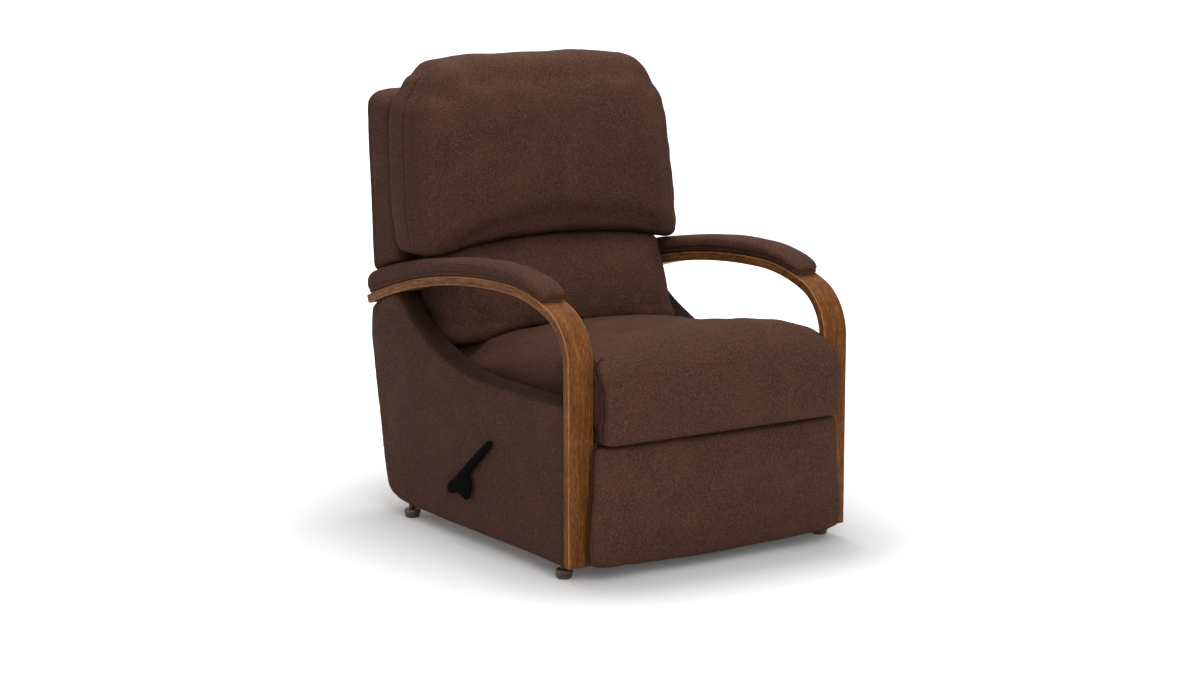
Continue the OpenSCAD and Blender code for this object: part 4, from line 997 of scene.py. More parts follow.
class Cover:
    """A hide cover over one or more soft nodes of the frame."""

    MERGE = 1e-5
    QUICK_SWELL = 1.3
    SUNK_SHARE = 0.25
    ALONG_SHARE = 0.3
    EDGE_RELAX = (2, 0.4)
    LAST_RELAX = (1, 0.35)
    STITCH = {"pitch": 0.0062, "length": 0.0044, "thickness": 0.0012, "material": FINISH.thread}
    CLOTH = {"quality": 5, "mass": 0.3, "tension_stiffness": 15, "compression_stiffness": 15,
             "shear_stiffness": 5, "bending_stiffness": 0.6, "use_pressure": True}

    def __init__(self, name: str, nodes: Sequence[str], body: str, filling: Filling,
                 over: Sequence[str] = (), over_from: float = 0.0) -> None:
        """Copies the nodes' solids, with those it also goes over, and makes one even skin of them.

        Args:
            name: the cover's name.
            nodes: the soft nodes that it stands for.
            body: the body that it rides on.
            filling: how it is cut and filled.
            over: nodes that it also wraps, which stay.
            over_from: the height from which it wraps them.
        """
        self.name, self.nodes, self.body, self.filling = name, list(nodes), body, filling
        work = bmesh.new()
        for node in over:
            work.from_mesh(FRAME["nodes"][node].data)
        if over_from:
            bmesh.ops.remove_doubles(work, verts=work.verts, dist=self.MERGE)
            cut = bmesh.ops.bisect_plane(
                work, geom=work.verts[:] + work.edges[:] + work.faces[:],
                plane_co=(0, 0, over_from), plane_no=(0, 0, -1), clear_outer=True)
            rim = [item for item in cut["geom_cut"] if isinstance(item, bmesh.types.BMEdge)]
            bmesh.ops.holes_fill(work, edges=rim)
        for node in nodes:
            work.from_mesh(FRAME["nodes"][node].data)
        bmesh.ops.remove_doubles(work, verts=work.verts, dist=self.MERGE)
        mesh = bpy.data.meshes.new(name)
        work.to_mesh(mesh)
        work.free()
        self.piece = new_object(name, mesh)
        reskin(self.piece, filling.voxel, filling.smooth, FINISH.hide)

    def round_edge(self, first: Field, second: Field,
                   radius: Field) -> None:
        """Rounds the edge between two faces.

        Args:
            first: gives for points their depth below one face.
            second: gives for points their depth below the other face.
            radius: gives for points the radius of the round.
        """
        mesh = self.piece.data
        points = coords(mesh)
        size = np.maximum(radius(points), 1e-4)
        near_first, near_second = size - first(points), size - second(points)
        reach = np.hypot(near_first, near_second)
        there = (near_first > 0) & (near_second > 0) & (reach > size)
        share = np.where(there, 1 - size / np.maximum(reach, 1e-9), 0.0)
        for field_of, near in ((first, near_first), (second, near_second)):
            points = points + _slope(field_of, coords(mesh)) * (near * share)[:, None]
        place(mesh, points)
        relax(mesh, *self.EDGE_RELAX)

    def inflate(self, held: Shaping,
                grow: Shaping | None = None) -> None:
        """Fills the cover with air pressure and keeps the result within the filling's cap.

        Args:
            held: gives for points and directions how firmly each point is held, 0 to 1.
            grow: gives for points and directions how far the cover is let out first.
        """
        piece, filling = self.piece, self.filling
        mesh = piece.data
        start, ways = coords(mesh), normals(mesh)
        hold = np.clip(held(start, ways), 0, 1)
        let_out = np.zeros(len(start)) if grow is None else grow(start, ways)
        drawn_in = filling.inset * (1 - hold)
        start = start + ways * (let_out - drawn_in)[:, None]
        place(mesh, start)
        group = piece.vertex_groups.new(name="held")
        for i in np.nonzero(hold > 0.02)[0]:
            group.add([int(i)], float(hold[i]), "REPLACE")
        cloth = piece.modifiers.new("filling", "CLOTH")
        settings = cloth.settings
        for key, value in self.CLOTH.items():
            setattr(settings, key, value)
        settings.uniform_pressure_force = filling.pressure
        settings.shrink_min = -filling.slack
        settings.effector_weights.gravity = 0
        settings.vertex_group_mass = "held"
        cloth.collision_settings.use_collision = False
        cloth.point_cache.frame_start, cloth.point_cache.frame_end = 1, filling.frames
        scene = bpy.context.scene
        for frame in range(1, filling.frames + 1):
            scene.frame_set(frame)
        result = evaluated(piece)
        moved = coords(result) - start
        bpy.data.meshes.remove(result)
        piece.modifiers.clear()
        piece.vertex_groups.clear()
        scene.frame_set(1)
        out = np.sum(moved * ways, axis=1)
        along = moved - out[:, None] * ways
        out = np.minimum(out, filling.cap * np.tanh(out / filling.cap)) - drawn_in
        out = np.where(out > 0, out, self.SUNK_SHARE * out)
        place(mesh, start + (out + drawn_in)[:, None] * ways + self.ALONG_SHARE * along)
        LOG.info("%s: %.1f mm proud at most, %.1f mm in the mean", self.name,
                 1000 * out.max(), 1000 * out.mean())
        relax(mesh, *self.LAST_RELAX)
        smooth = piece.modifiers.new("smooth", "SUBSURF")
        smooth.levels = smooth.render_levels = 1
        settle(piece)
        piece.data.polygons.foreach_set("use_smooth", [True] * len(piece.data.polygons))

    def roughen(self, ripple: Ripple, height: float, share: Field | None = None) -> None:
        """Adds soft unevenness along the surface's own directions.

        Args:
            ripple: the unevenness.
            height: its height, in metres.
            share: gives for points how much of it they get.
        """
        mesh = self.piece.data
        points = coords(mesh)
        amount = ripple.at(points) * height
        if share is not None:
            amount = amount * share(points)
        place(mesh, points + normals(mesh) * amount[:, None])

    def sew(self, *seams: Seam) -> None:
        """Presses the seams in, paints shade into their grooves, gathers the hide beside them, and
        adds stitches and welts.
        """
        mesh = self.piece.data
        crease = np.zeros(len(mesh.vertices))
        ways = normals(mesh)
        points = coords(mesh)
        moved = points.copy()
        for seam in seams:
            gap = seam.field(points)
            there = np.ones(len(points)) if seam.where is None else seam.where(points).astype(float)
            dip = bell(gap, seam.width) * there
            gather = np.exp(-np.abs(gap) / seam.reach) * there
            flat = points - gap[:, None] * _slope(seam.field, points)
            wrinkle = Ripple(seam.seed, *seam.wave).at(flat) * gather * (1 - 0.7 * dip)
            moved -= ways * (dip * seam.depth - wrinkle * seam.pucker)[:, None]
            # Painted shade in the seam's groove, as strong as the seam's dark.
            crease = np.maximum(crease, seam.dark * bell(gap, 0.6 * seam.width) * there)
        place(mesh, moved)
        mark(mesh, "crease", crease)
        for seam in seams:
            values = seam.field(coords(mesh))
            rows = [(f"stitches_{number}", offset, (0.006, 3), TRIMS.stitches, self.STITCH)
                    for number, offset in enumerate(seam.stitched)]
            if seam.welt:
                rows.append(("welt", 0.0, (0.005, 6), TRIMS.welt,
                             {"radius": seam.welt, "material": FINISH.hide}))
            for label, offset, spacing, tree, settings in rows:
                found = [(even_line(line, closed, *spacing), closed)
                         for line, closed in level_lines(mesh, values, offset, seam.where)]
                if found:
                    trim = TRIMS.grow(f"{self.name}_{seam.name}_{label}", found, tree, **settings)
                    dress(trim, self.body)

    def shade(self, amount: Shaping) -> None:
        """Paints shade into the hide, as much as the amount gives at each point."""
        mesh = self.piece.data
        mark(mesh, "crease", amount(coords(mesh), normals(mesh)))

    def hand_over(self) -> None:
        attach(self.piece, self.body)
        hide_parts(*self.nodes)
        LOG.info("%s: %d faces", self.name, len(self.piece.data.polygons))


def crest(mesh: Mesh, along: int, up: int, sign: float, half: float) -> Field:
    """Follows the outermost points of a mesh's middle part.

    Args:
        mesh: the mesh.
        along: the axis along which it is followed.
        up: the axis on which outermost is meant.
        sign: 1 for the highest points, -1 for the lowest.
        half: how far the middle part reaches to each side.

    Returns:
        A function that gives for points the outermost value at their place.
    """
    points = coords(mesh)
    points = points[np.abs(points[:, 0]) < half]
    marks = np.arange(points[:, along].min(), points[:, along].max(), 0.012)
    best = [sign * np.max(sign * points[np.abs(points[:, along] - m) < 0.012, up]) for m in marks]
    return lambda p: np.interp(p[:, along], marks, best)


def _slope(field_of: Field, points: Array, step: float = 5e-4) -> Array:
    """Returns the direction in which a field grows at each point."""
    grow = np.stack([field_of(points + step * axis) - field_of(points - step * axis)
                     for axis in np.eye(3)], axis=1)
    return grow / np.maximum(np.linalg.norm(grow, axis=1), 1e-9)[:, None]


def dress(piece: Piece, body: str) -> Piece:
    """Lets a piece ride on a body, and returns it."""
    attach(piece, body)
    return piece


def ease(value: Array | float, start: float = 0.0, width: float = 1.0) -> Array | float:
    """Returns a smooth step from 0 to 1 that begins at a value and is this wide."""
    value = np.clip((value - start) / width, 0, 1)
    return value * value * (3 - 2 * value)


def beside(p: Array, start: float, width: float) -> Array:
    """Returns a smooth step with the distance of points from the middle plane."""
    return ease(np.abs(p[:, 0]), start, width)


def sideways(n: Array, start: float = 0.4, width: float = 0.4) -> Array:
    """Returns how much directions point to either side."""
    return ease(np.abs(n[:, 0]), start, width)


def upward(n: Array, start: float = 0.3, width: float = 0.4) -> Array:
    """Returns how much directions point up."""
    return ease(n[:, 2], start, width)


def downward(n: Array, start: float = 0.3, width: float = 0.4) -> Array:
    """Returns how much directions point down."""
    return ease(-n[:, 2], start, width)


def bell(value: Array, width: float) -> Array:
    """Returns 1 where a value is zero, less and less away from it."""
    return np.exp(-(value / width) ** 2)


# ---------------------------------------------------------------- sub-assemblies


@dataclass
class ArmCurve:
    """Side view of a bentwood arm: a straight leg, then three bends of its outer face."""

    front: float = -0.3975
    foot: float = 0.032
    leg: float = 0.414
    bends: tuple[tuple[float, float], ...] = ((0.124, 68.0), (0.441, 21.3), (1.673, 21.0))
    thick: float = 0.020
    centres: list[tuple[float, float]] = field(init=False)
    turns: list[float] = field(init=False)

    def __post_init__(self) -> None:
        """Works out the bends' centres and the directions at which they end."""
        radius = self.bends[0][0]
        y, z = self.front + radius, self.foot + self.leg
        self.centres, self.turns, turn = [(y, z)], [0.0], 0.0
        for (here, angle), (following, _) in zip(self.bends, self.bends[1:]):
            turn += math.radians(angle)
            self.turns.append(turn)
            y, z = y + (following - here) * math.cos(turn), z - (following - here) * math.sin(turn)
            self.centres.append((y, z))
        self.turns.append(turn + math.radians(self.bends[-1][1]))

    def arcs(self) -> Iterable[tuple]:
        """Returns each bend with its centre and the directions at its two ends."""
        return zip(self.bends, self.centres, self.turns, self.turns[1:])

    def at(self, run: float, depth: float = 0.0) -> tuple[float, float]:
        """Returns the place, as (y, z), after a run along the outer face, at a depth below it.

        Args:
            run: the way along the outer face from the foot.
            depth: how far below that face.

        Returns:
            The place, as (y, z).
        """
        if run < self.leg:
            return self.front + depth, self.foot + run
        run -= self.leg
        for (radius, _), (y, z), low, high in self.arcs():
            length = radius * (high - low)
            if run <= length or high == self.turns[-1]:
                angle = low + run / radius
                reach = radius - depth
                return y - reach * math.cos(angle), z + reach * math.sin(angle)
            run -= length
        raise ValueError("the run is past the arm's end")

    @property
    def length(self) -> float:
        """The whole run along the outer face."""
        return self.leg + sum(r * math.radians(a) for r, a in self.bends)

    def height(self, points: Array) -> Array:
        """Returns how far points stand off the outer face of the bends.

        Args:
            points: the points, in rows of three.

        Returns:
            Their distances, above it positive.
        """
        result = np.full(len(points), np.inf)
        for (radius, _), (y, z), low, high in self.arcs():
            away, up = y - points[:, 1], points[:, 2] - z
            angle = np.arctan2(up, away)
            inside = (angle >= low - 0.02) & (angle <= high + 0.05)
            off = np.hypot(away, up) - radius
            result = np.where(inside & (np.abs(off) < np.abs(result)), off, result)
        return np.where(np.isfinite(result), result, 1.0)


@dataclass
class BentArm:
    """One laminated strip: the front leg, the bend and the rail under the arm pad."""

    side: Side
    curve: ArmCurve = field(default_factory=ArmCurve)
    edge_round: float = 0.0032
    corner_steps: int = 4
    end_round: float = 0.0012
    # Width of the painted highlight along the strip's rounded long edges.
    rubbed_edge: float = 0.0036
    leg_pitch: float = 0.012
    bend_pitch: float = 0.006
    figure_shift: float = 0.05

    def section(self, width: float) -> list[tuple[float, float]]:
        """Returns the rounded outline of the strip, as places across and depths.

        Args:
            width: the strip's width.

        Returns:
            The outline's points.
        """
        r, half, thick = self.edge_round, width / 2, self.curve.thick
        corners = ((half - r, r, -90), (half - r, thick - r, 0),
                   (r - half, thick - r, 90), (r - half, r, 180))
        outline = []
        for x, d, start in corners:
            for i in range(self.corner_steps + 1):
                angle = math.radians(start + 90 * i / self.corner_steps)
                outline.append((x + r * math.cos(angle), d + r * math.sin(angle)))
        filled = []
        for a, b in zip(outline, outline[1:] + outline[:1]):
            filled.append(a)
            gap = math.dist(a, b)
            if gap > 0.012:
                steps = int(gap / 0.008)
                filled += [(a[0] + (b[0] - a[0]) * i / steps, a[1] + (b[1] - a[1]) * i / steps)
                           for i in range(1, steps)]
        return filled

    def build(self) -> Piece:
        """Makes the strip, with its own coordinates for the grain, and returns it."""
        node = f"arm_{self.side.word}"
        low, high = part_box(node)
        width, middle = high.x - low.x, (high.x + low.x) / 2
        section = self.section(width)
        whole = self.curve.length
        tip = self.end_round
        runs, run = [0.0, tip], 0.0
        while run < whole:
            run += self.leg_pitch if run < self.curve.leg - self.leg_pitch else self.bend_pitch
            runs.append(min(run, whole - tip))
        runs = sorted(set(runs + [whole - tip, whole]))
        points, strip, edge = [], [], []
        half, thick = width / 2, self.curve.thick
        for run in runs:
            shrink = tip if run < tip / 2 or run > whole - tip / 2 else 0.0
            for across, depth in section:
                x = across - math.copysign(min(shrink, abs(across)), across)
                d = depth + (shrink if depth < thick / 2 else -shrink)
                y, z = self.curve.at(run, d)
                points.append((middle + x, y, z))
                strip.append((run, across, depth + self.figure_shift * self.side.value))
                # edge is 1 on the rounded long edges, where the bentwood material paints a
                # highlight, and fades inwards.
                aside, within = half - abs(across), thick / 2 - abs(depth - thick / 2)
                edge.append(float(1 - ease(max(aside, within), width=self.rubbed_edge)))
        faces = tube_faces(len(runs), len(section))
        piece = from_faces(f"bent_arm_{self.side.word}", points, faces, FINISH.bentwood)
        mark(piece.data, "strip", np.array(strip))
        mark(piece.data, "edge", np.array(edge))
        dress(piece, "base")
        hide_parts(node)
        LOG.info("%s: %d faces", piece.name, len(piece.data.polygons))
        return piece


@dataclass
class ArmPad:
    """Upholstered pad on the rail, with a welt just above its lower edge."""

    side: Side
    curve: ArmCurve = field(default_factory=ArmCurve)
    welt_up: float = 0.009
    rim: float = 0.006
    rim_out: float = 0.0012
    soft_from: float = 0.014
    filling: Filling = Filling(voxel=0.0042, inset=0.0022, smooth=3, pressure=3.0,
                               slack=0.01, cap=0.005, fill=0.9)

    def build(self) -> None:
        """Makes the pad with its seam and welt."""
        node = f"arm_pad_{self.side.word}"
        cover = Cover(f"arm_pad_cover_{self.side.word}", [node], "base", self.filling)
        off = self.curve.height
        cover.inflate(lambda p, n: bell(off(p) - self.welt_up, 0.004) + (off(p) < self.rim),
                      lambda p, n: self.rim_out * (off(p) < self.rim))
        cover.roughen(Ripple(11 + self.side.value, 0.05, 0.14), 0.0006,
                      lambda p: off(p) > self.soft_from)
        seam = Seam("lower_edge", lambda p: off(p) - self.welt_up, depth=0.0030, width=0.0030,
                    pucker=0.0005, wave=(0.010, 0.022), reach=0.010, welt=0.0019, seed=21)
        cover.sew(seam)
        cover.hand_over()


@dataclass
class SidePanel:
    """Padded panel between the leg and the back; its hide goes on over the board's upper part."""

    side: Side
    wrap_from: float = 0.325
    rim_in: float = 0.013
    bulge_in: float = 0.012
    face_in: float = 0.034
    board_in: float = 0.041
    tuck_from: float = 0.47
    let_out: float = 0.0015
    wrap_out: float = 0.005
    tuck_out: float = 0.006
    # How strong the painted shade on the panel's upward-facing top is at most.
    shade_most: float = 0.85
    filling: Filling = Filling(voxel=0.0075, inset=0.004, smooth=5, pressure=2.5,
                               slack=0.008, cap=0.008, fill=0.9)

    def build(self) -> None:
        """Makes the panel, held along its rim and on its inner side."""
        node, sign = f"side_panel_{self.side.word}", self.side.value
        low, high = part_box(node)
        outer = high.x if sign > 0 else -low.x
        cover = Cover(f"panel_cover_{self.side.word}", [node], "base", self.filling,
                      over=[f"side_board_{self.side.word}"], over_from=self.wrap_from)

        def held(p: Array, n: Array) -> Array:
            """Returns how firmly each point is held."""
            rim = bell(sign * p[:, 0] - (outer - self.rim_in), 0.005) * (np.abs(n[:, 0]) < 0.9)
            return rim + (sign * p[:, 0] < outer - self.face_in)

        def grow(p: Array, n: Array) -> Array:
            """Returns how far the cover is let out at each point."""
            wrap = (sign * p[:, 0] < outer - self.board_in) & (n[:, 2] > 0.3)
            tuck = ease(p[:, 2], self.tuck_from, 0.02)
            return self.let_out + self.wrap_out * wrap + self.tuck_out * tuck

        cover.inflate(held, grow)
        cover.roughen(Ripple(31 + sign, 0.10, 0.30), 0.0012,
                      lambda p: sign * p[:, 0] > outer - self.bulge_in)
        # Painted shade on the upward-facing top of the panel and its wrap above 0.3 m, where the
        # arm above shades it.
        cover.shade(lambda p, n: self.shade_most * upward(n, 0.22, 0.4) * (p[:, 2] > 0.3))
        cover.hand_over()


@dataclass
class SeatCushion:
    """Seat with its raised front roll and an end gusset on each side."""

    seam_y: float = -0.434
    leg_y: float = -0.392
    rear_round: float = 0.070
    roll_round: float = 0.036
    seam_step: float = 0.036
    least_round: float = 0.014
    behind_leg: float = 0.013
    held_under: float = 0.05
    held_behind: float = 0.10
    end_out: float = 0.004
    lip: float = 0.0045
    crown: float = 0.007
    droop: float = 0.022
    filling: Filling = Filling(voxel=0.009, inset=0.008, smooth=4, pressure=4.5,
                               slack=0.02, cap=0.024, fill=0.75)

    def build(self) -> None:
        """Makes the seat, filled most over its top and front, with rounded sides."""
        low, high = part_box("seat_cushion")
        cover = Cover("seat_cover", ["seat_cushion"], "carriage", self.filling)
        leg_y = self.leg_y
        top, front = crest(cover.piece.data, 1, 2, 1, 0.2), crest(cover.piece.data, 2, 1, -1, 0.2)

        def aside(p: Array) -> Array:
            """Returns how far points lie inside the cushion's side."""
            step = self.behind_leg * ease(p[:, 1] - leg_y, -0.004, 0.012)
            return high.x - step - np.abs(p[:, 0])

        cover.round_edge(aside, lambda p: top(p) - p[:, 2],
                         lambda p: self.rear_round * ease(p[:, 1] - leg_y, 0.04, 0.14)
                         + self.least_round)
        cover.round_edge(aside, lambda p: p[:, 1] - front(p),
                         lambda p: self.roll_round * (p[:, 2] > low.z))

        def end_gap(p: Array) -> Array:
            """Returns how far points lie from the seam."""
            back = self.seam_step * ease(p[:, 2], 0.395, 0.05)
            return np.where(np.abs(p[:, 0]) > high.x - 0.05, self.seam_y + back - p[:, 1], 1.0)

        def held(p: Array, n: Array) -> Array:
            """Returns how firmly each point is held."""
            ends = beside(p, high.x - 0.045, 0.03)
            under = p[:, 2] < low.z + self.held_under
            back = p[:, 1] > high.y - self.held_behind
            return bell(end_gap(p), 0.005) + 0.9 * ends * (p[:, 1] > leg_y - 0.01) + under + back

        def grow(p: Array, n: Array) -> Array:
            """Returns how far the cover is let out at each point."""
            ends = self.end_out * sideways(n, 0.5, 0.3)
            lip = self.lip * downward(n) * (p[:, 1] < -0.38)
            rear = ease(p[:, 1], -0.12, 0.2) * upward(n, 0.2, 0.5)
            crown = self.crown - self.droop * beside(p, 0.13, 0.16)
            return ends + lip + rear * crown

        cover.inflate(held, grow)
        cover.roughen(Ripple(41, 0.12, 0.34), 0.0016, lambda p: p[:, 2] > 0.33)
        seam = Seam("end", end_gap, depth=0.004, width=0.0045, pucker=0.0016, wave=(0.02, 0.05),
                    reach=0.03, seed=43, where=lambda p: (np.abs(p[:, 0]) > high.x - 0.03)
                    & (p[:, 2] > 0.30) & (p[:, 1] < -0.33))
        cover.sew(seam)
        cover.hand_over()


LEAN_FROM = 0.562
SHELL_FRONT, FRONT_LEAN = 0.3315, math.tan(math.radians(7.1))
SHELL_REAR, REAR_LEAN = 0.4485, math.tan(math.radians(2.8))


SQUARE_TO_FRONT = 0.992


def shell_front(z: Array | float) -> Array | float:
    """Returns the depth of the leaning plane on which the back cushions rest."""
    return SHELL_FRONT + FRONT_LEAN * (z - LEAN_FROM)


@dataclass
class BackPillow:
    """The big pillow, with a seam round its side and an arched lower edge."""

    seam_ahead: float = 0.074
    seam_top: float = 0.95
    corner_in: float = 0.021
    rear_out: float = 0.008
    front_in: float = 0.007
    let_out: float = 0.001
    under_out: float = 0.003
    filling: Filling = Filling(voxel=0.009, inset=0.006, smooth=3, pressure=4.5,
                               slack=0.02, cap=0.022, fill=0.8)

    def build(self) -> None:
        """Makes the pillow."""
        cover = Cover("back_pillow_cover", ["back_pillow"], "back", self.filling)

        def side_gap(p: Array) -> Array:
            """Returns how far points lie from the seam."""
            plane = shell_front(np.minimum(p[:, 2], self.seam_top))
            return (plane - self.seam_ahead - p[:, 1]) * SQUARE_TO_FRONT

        def held(p: Array, n: Array) -> Array:
            """Returns how firmly each point is held."""
            return bell(side_gap(p), 0.006) + (side_gap(p) < -0.012) * 0.9

        def grow(p: Array, n: Array) -> Array:
            """Returns how far the cover is let out at each point."""
            corner = ease(p[:, 2], 0.915, 0.06) * beside(p, 0.235, 0.07)
            rearward = 0.45 + 0.55 * ease(0.09 - side_gap(p), width=0.09)
            behind = ease(0.02 - side_gap(p), width=0.03)
            ahead = (1 - behind) * ease(p[:, 2], 0.70, 0.15)
            sides = self.rear_out * behind - self.front_in * ahead
            sides = sides * sideways(n)
            under = self.under_out * downward(n)
            return self.let_out + under + sides - self.corner_in * corner * rearward

        cover.inflate(held, grow)
        cover.roughen(Ripple(51, 0.12, 0.32), 0.0017, lambda p: ease(side_gap(p), width=0.05))
        # The pillow's seam gets a lighter painted shade in its groove (dark=0.45).
        seam = Seam("side", side_gap, depth=0.0032, width=0.0045, pucker=0.0007, wave=(0.022, 0.06),
                    reach=0.025, dark=0.45, seed=53, where=lambda p: p[:, 2] > 0.615,
                    stitched=(0.006,))
        cover.sew(seam)
        cover.hand_over()


@dataclass
class LumbarCushion:
    """The cushion behind the small of the back, which closes under the pillow's arch."""

    end_round: float = 0.052
    end_out: float = 0.0060
    drop: tuple[float, float] = (0.005, 0.026)
    rise: tuple[float, float] = (0.003, 0.006)
    filling: Filling = Filling(voxel=0.009, inset=0.006, smooth=4, pressure=4.0,
                               slack=0.02, cap=0.016, fill=0.8)

    def build(self) -> None:
        """Makes the cushion, with ends that run smoothly round to the posts."""
        low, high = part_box("lumbar_cushion")
        cover = Cover("lumbar_cover", ["lumbar_cushion"], "back", self.filling)
        front = crest(cover.piece.data, 2, 1, -1, 0.22)
        cover.round_edge(lambda p: high.x - np.abs(p[:, 0]), lambda p: p[:, 1] - front(p),
                         lambda p: self.end_round * (1 - 0.5 * ease(p[:, 2], 0.52, 0.06)))

        def held(p: Array, n: Array) -> Array:
            """Returns how firmly each point is held."""
            ahead = shell_front(p[:, 2]) - p[:, 1]
            return ((ahead < 0.05) + 0.8 * (p[:, 2] < low.z + 0.012)
                    + 0.8 * beside(p, high.x - 0.03, 0.02))

        def grow(p: Array, n: Array) -> Array:
            """Returns how far the cover is let out at each point."""
            ends = self.end_out * sideways(n, 0.3, 0.4)
            drop = self.drop[0] + self.drop[1] * beside(p, 0.12, 0.16)
            rise = self.rise[0] + self.rise[1] * beside(p, 0.18, 0.08)
            return ends + drop * downward(n, 0.1, 0.5) + rise * upward(n)

        cover.inflate(held, grow)
        cover.roughen(Ripple(61, 0.10, 0.28), 0.0018)
        # Painted shade, darker towards the cushion's bottom where it meets the seat.
        cover.shade(lambda p, n: 0.3 * ease(low.z + 0.05 - p[:, 2], width=0.05))
        cover.hand_over()


@dataclass
class BackShell:
    """Upholstered outer back with its wings over the arms."""

    welt_ahead: float = 0.022
    edge_out: float = 0.005
    let_out: float = 0.0015
    side_out: float = 0.002
    filling: Filling = Filling(voxel=0.009, inset=0.004, smooth=3, pressure=2.5,
                               slack=0.008, cap=0.007, fill=0.9)

    def build(self) -> None:
        """Makes the shell, with a welt along its rear edges."""
        nodes = ["back_shell", "back_wing_left", "back_wing_right"]
        cover = Cover("back_shell_cover", nodes, "back", self.filling)

        def rear_gap(p: Array) -> Array:
            """Returns how far points lie from the welt's line."""
            return SHELL_REAR + REAR_LEAN * (p[:, 2] - LEAN_FROM) - self.welt_ahead - p[:, 1]

        def held(p: Array, n: Array) -> Array:
            """Returns how firmly each point is held."""
            return bell(rear_gap(p), 0.006) + (rear_gap(p) > 0.06)

        def grow(p: Array, n: Array) -> Array:
            """Returns how far the cover is let out at each point."""
            edge = bell(rear_gap(p) + 0.012, 0.014) * ease(np.hypot(n[:, 0], n[:, 2]), 0.2, 0.3)
            return self.let_out + self.edge_out * edge + self.side_out * sideways(n, 0.5, 0.3)

        cover.inflate(held, grow)
        cover.roughen(Ripple(71, 0.16, 0.36), 0.0009)
        edge = Seam("rear_edge", rear_gap, depth=0.0028, width=0.004, pucker=0.0003,
                    wave=(0.025, 0.06), reach=0.02, seed=73, where=lambda p: p[:, 2] > 0.36,
                    welt=0.0024)
        cover.sew(edge)
        cover.hand_over()


@dataclass
class Legrest:
    """Legrest pad with a seam round its rear edge."""

    seam_ahead: float = 0.014
    side_out: float = 0.0065
    let_out: float = 0.0018
    over_out: float = 0.0025
    under_out: float = 0.0025
    corner_out: tuple[float, float] = (0.002, 0.0035)
    filling: Filling = Filling(voxel=0.008, inset=0.006, smooth=4, pressure=4.0,
                               slack=0.02, cap=0.016, fill=0.75)

    def build(self) -> None:
        """Makes the pad."""
        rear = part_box("legrest_pad")[1].y
        cover = Cover("legrest_cover", ["legrest_pad"], "legrest", self.filling,
                      over=["legrest_board"])

        def side_gap(p: Array) -> Array:
            """Returns how far points lie from the seam."""
            return (rear - self.seam_ahead) - p[:, 1]

        def held(p: Array, n: Array) -> Array:
            """Returns how firmly each point is held."""
            return bell(side_gap(p), 0.005) + (side_gap(p) < -0.004)

        def grow(p: Array, n: Array) -> Array:
            """Returns how far the cover is let out at each point."""
            sides = sideways(n)
            under = downward(n)
            corner = beside(p, 0.20, 0.10) * ease(0.12 - p[:, 2], width=0.09)
            over = self.let_out + self.over_out * upward(n)
            return (over + sides * (self.side_out + self.corner_out[0] * corner)
                    + under * (self.under_out + self.corner_out[1] * corner))

        cover.inflate(held, grow)
        cover.roughen(Ripple(81, 0.12, 0.28), 0.0017, lambda p: ease(side_gap(p), width=0.02))
        seam = Seam("side", side_gap, depth=0.0028, width=0.0045, pucker=0.0007, wave=(0.05, 0.12),
                    reach=0.02, seed=83)
        cover.sew(seam)
        cover.hand_over()


@dataclass
class SeatApron:
    """Hide pulled down over the front of the seat frame and stapled under it."""

    top: float = 0.320
    thick: float = 0.0022
    beside: float = 0.0035
    ahead: float = 0.0015
    corner: float = 0.006
    rows: int = 6

    def build(self) -> None:
        """Makes the apron as one strip round the frame's front corners."""
        low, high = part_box("seat_frame")
        reach, front, radius = high.x + self.beside, low.y - self.ahead, self.corner
        path = [(-reach, front + 0.050), (-reach, front + 0.030)]
        for side in (-1, 1):
            for step in range(7):
                turn = math.pi / 2 * (step / 6 if side < 0 else 1 - step / 6)
                path.append((side * (reach - radius + radius * math.cos(turn)),
                             front + radius - radius * math.sin(turn)))
        path += [(reach, front + 0.030), (reach, front + 0.050)]
        line = even_line([Vector((x, y, low.z)) for x, y in path], False, 0.012, rounds=0)
        points, rows = [], range(self.rows)
        loop = [(0, row) for row in rows] + [(1, row) for row in reversed(rows)]
        for point in line:
            beside = abs(point.x) > reach - 0.001
            way = Vector((-math.copysign(1, point.x), 0, 0)) if beside else Vector((0, 1, 0))
            for layer, row in loop:
                z = low.z - 0.001 + (self.top - low.z) * row / (self.rows - 1)
                points.append(point + way * self.thick * layer + Vector((0, 0, z - point.z)))
        faces = tube_faces(len(line), len(loop))
        piece = from_faces("seat_apron", points, faces, FINISH.hide)
        dress(piece, "carriage")


@dataclass
class PostFacing:
    """Hide stapled round the outer face of a back post, beside the lumbar cushion."""

    side: Side
    low: float = 0.345
    high: float = 0.640
    out: float = 0.2825
    thick: float = 0.0050
    ahead: float = 0.030
    behind: float = 0.030
    squareness: float = 0.35
    rows: int = 14
    columns: int = 8

    def build(self) -> None:
        """Makes the facing as one bowed sheet with rounded edges."""
        points = []
        for j in range(self.rows + 1):
            z = self.low + (self.high - self.low) * j / self.rows
            middle = shell_front(z)
            for i in range(2 * self.columns):
                turn = math.pi * (i + 0.5) / self.columns
                wide, flat = (math.copysign(abs(part) ** self.squareness, part)
                              for part in (math.cos(turn), math.sin(turn)))
                x = self.out - self.thick / 2 + self.thick / 2 * wide
                y = middle + (self.behind - self.ahead) / 2 - flat * (self.behind + self.ahead) / 2
                points.append((self.side.value * x, y, z))
        faces = tube_faces(self.rows + 1, 2 * self.columns)
        piece = from_faces(f"post_facing_{self.side.word}", points, faces, FINISH.hide)
        dress(piece, "back")


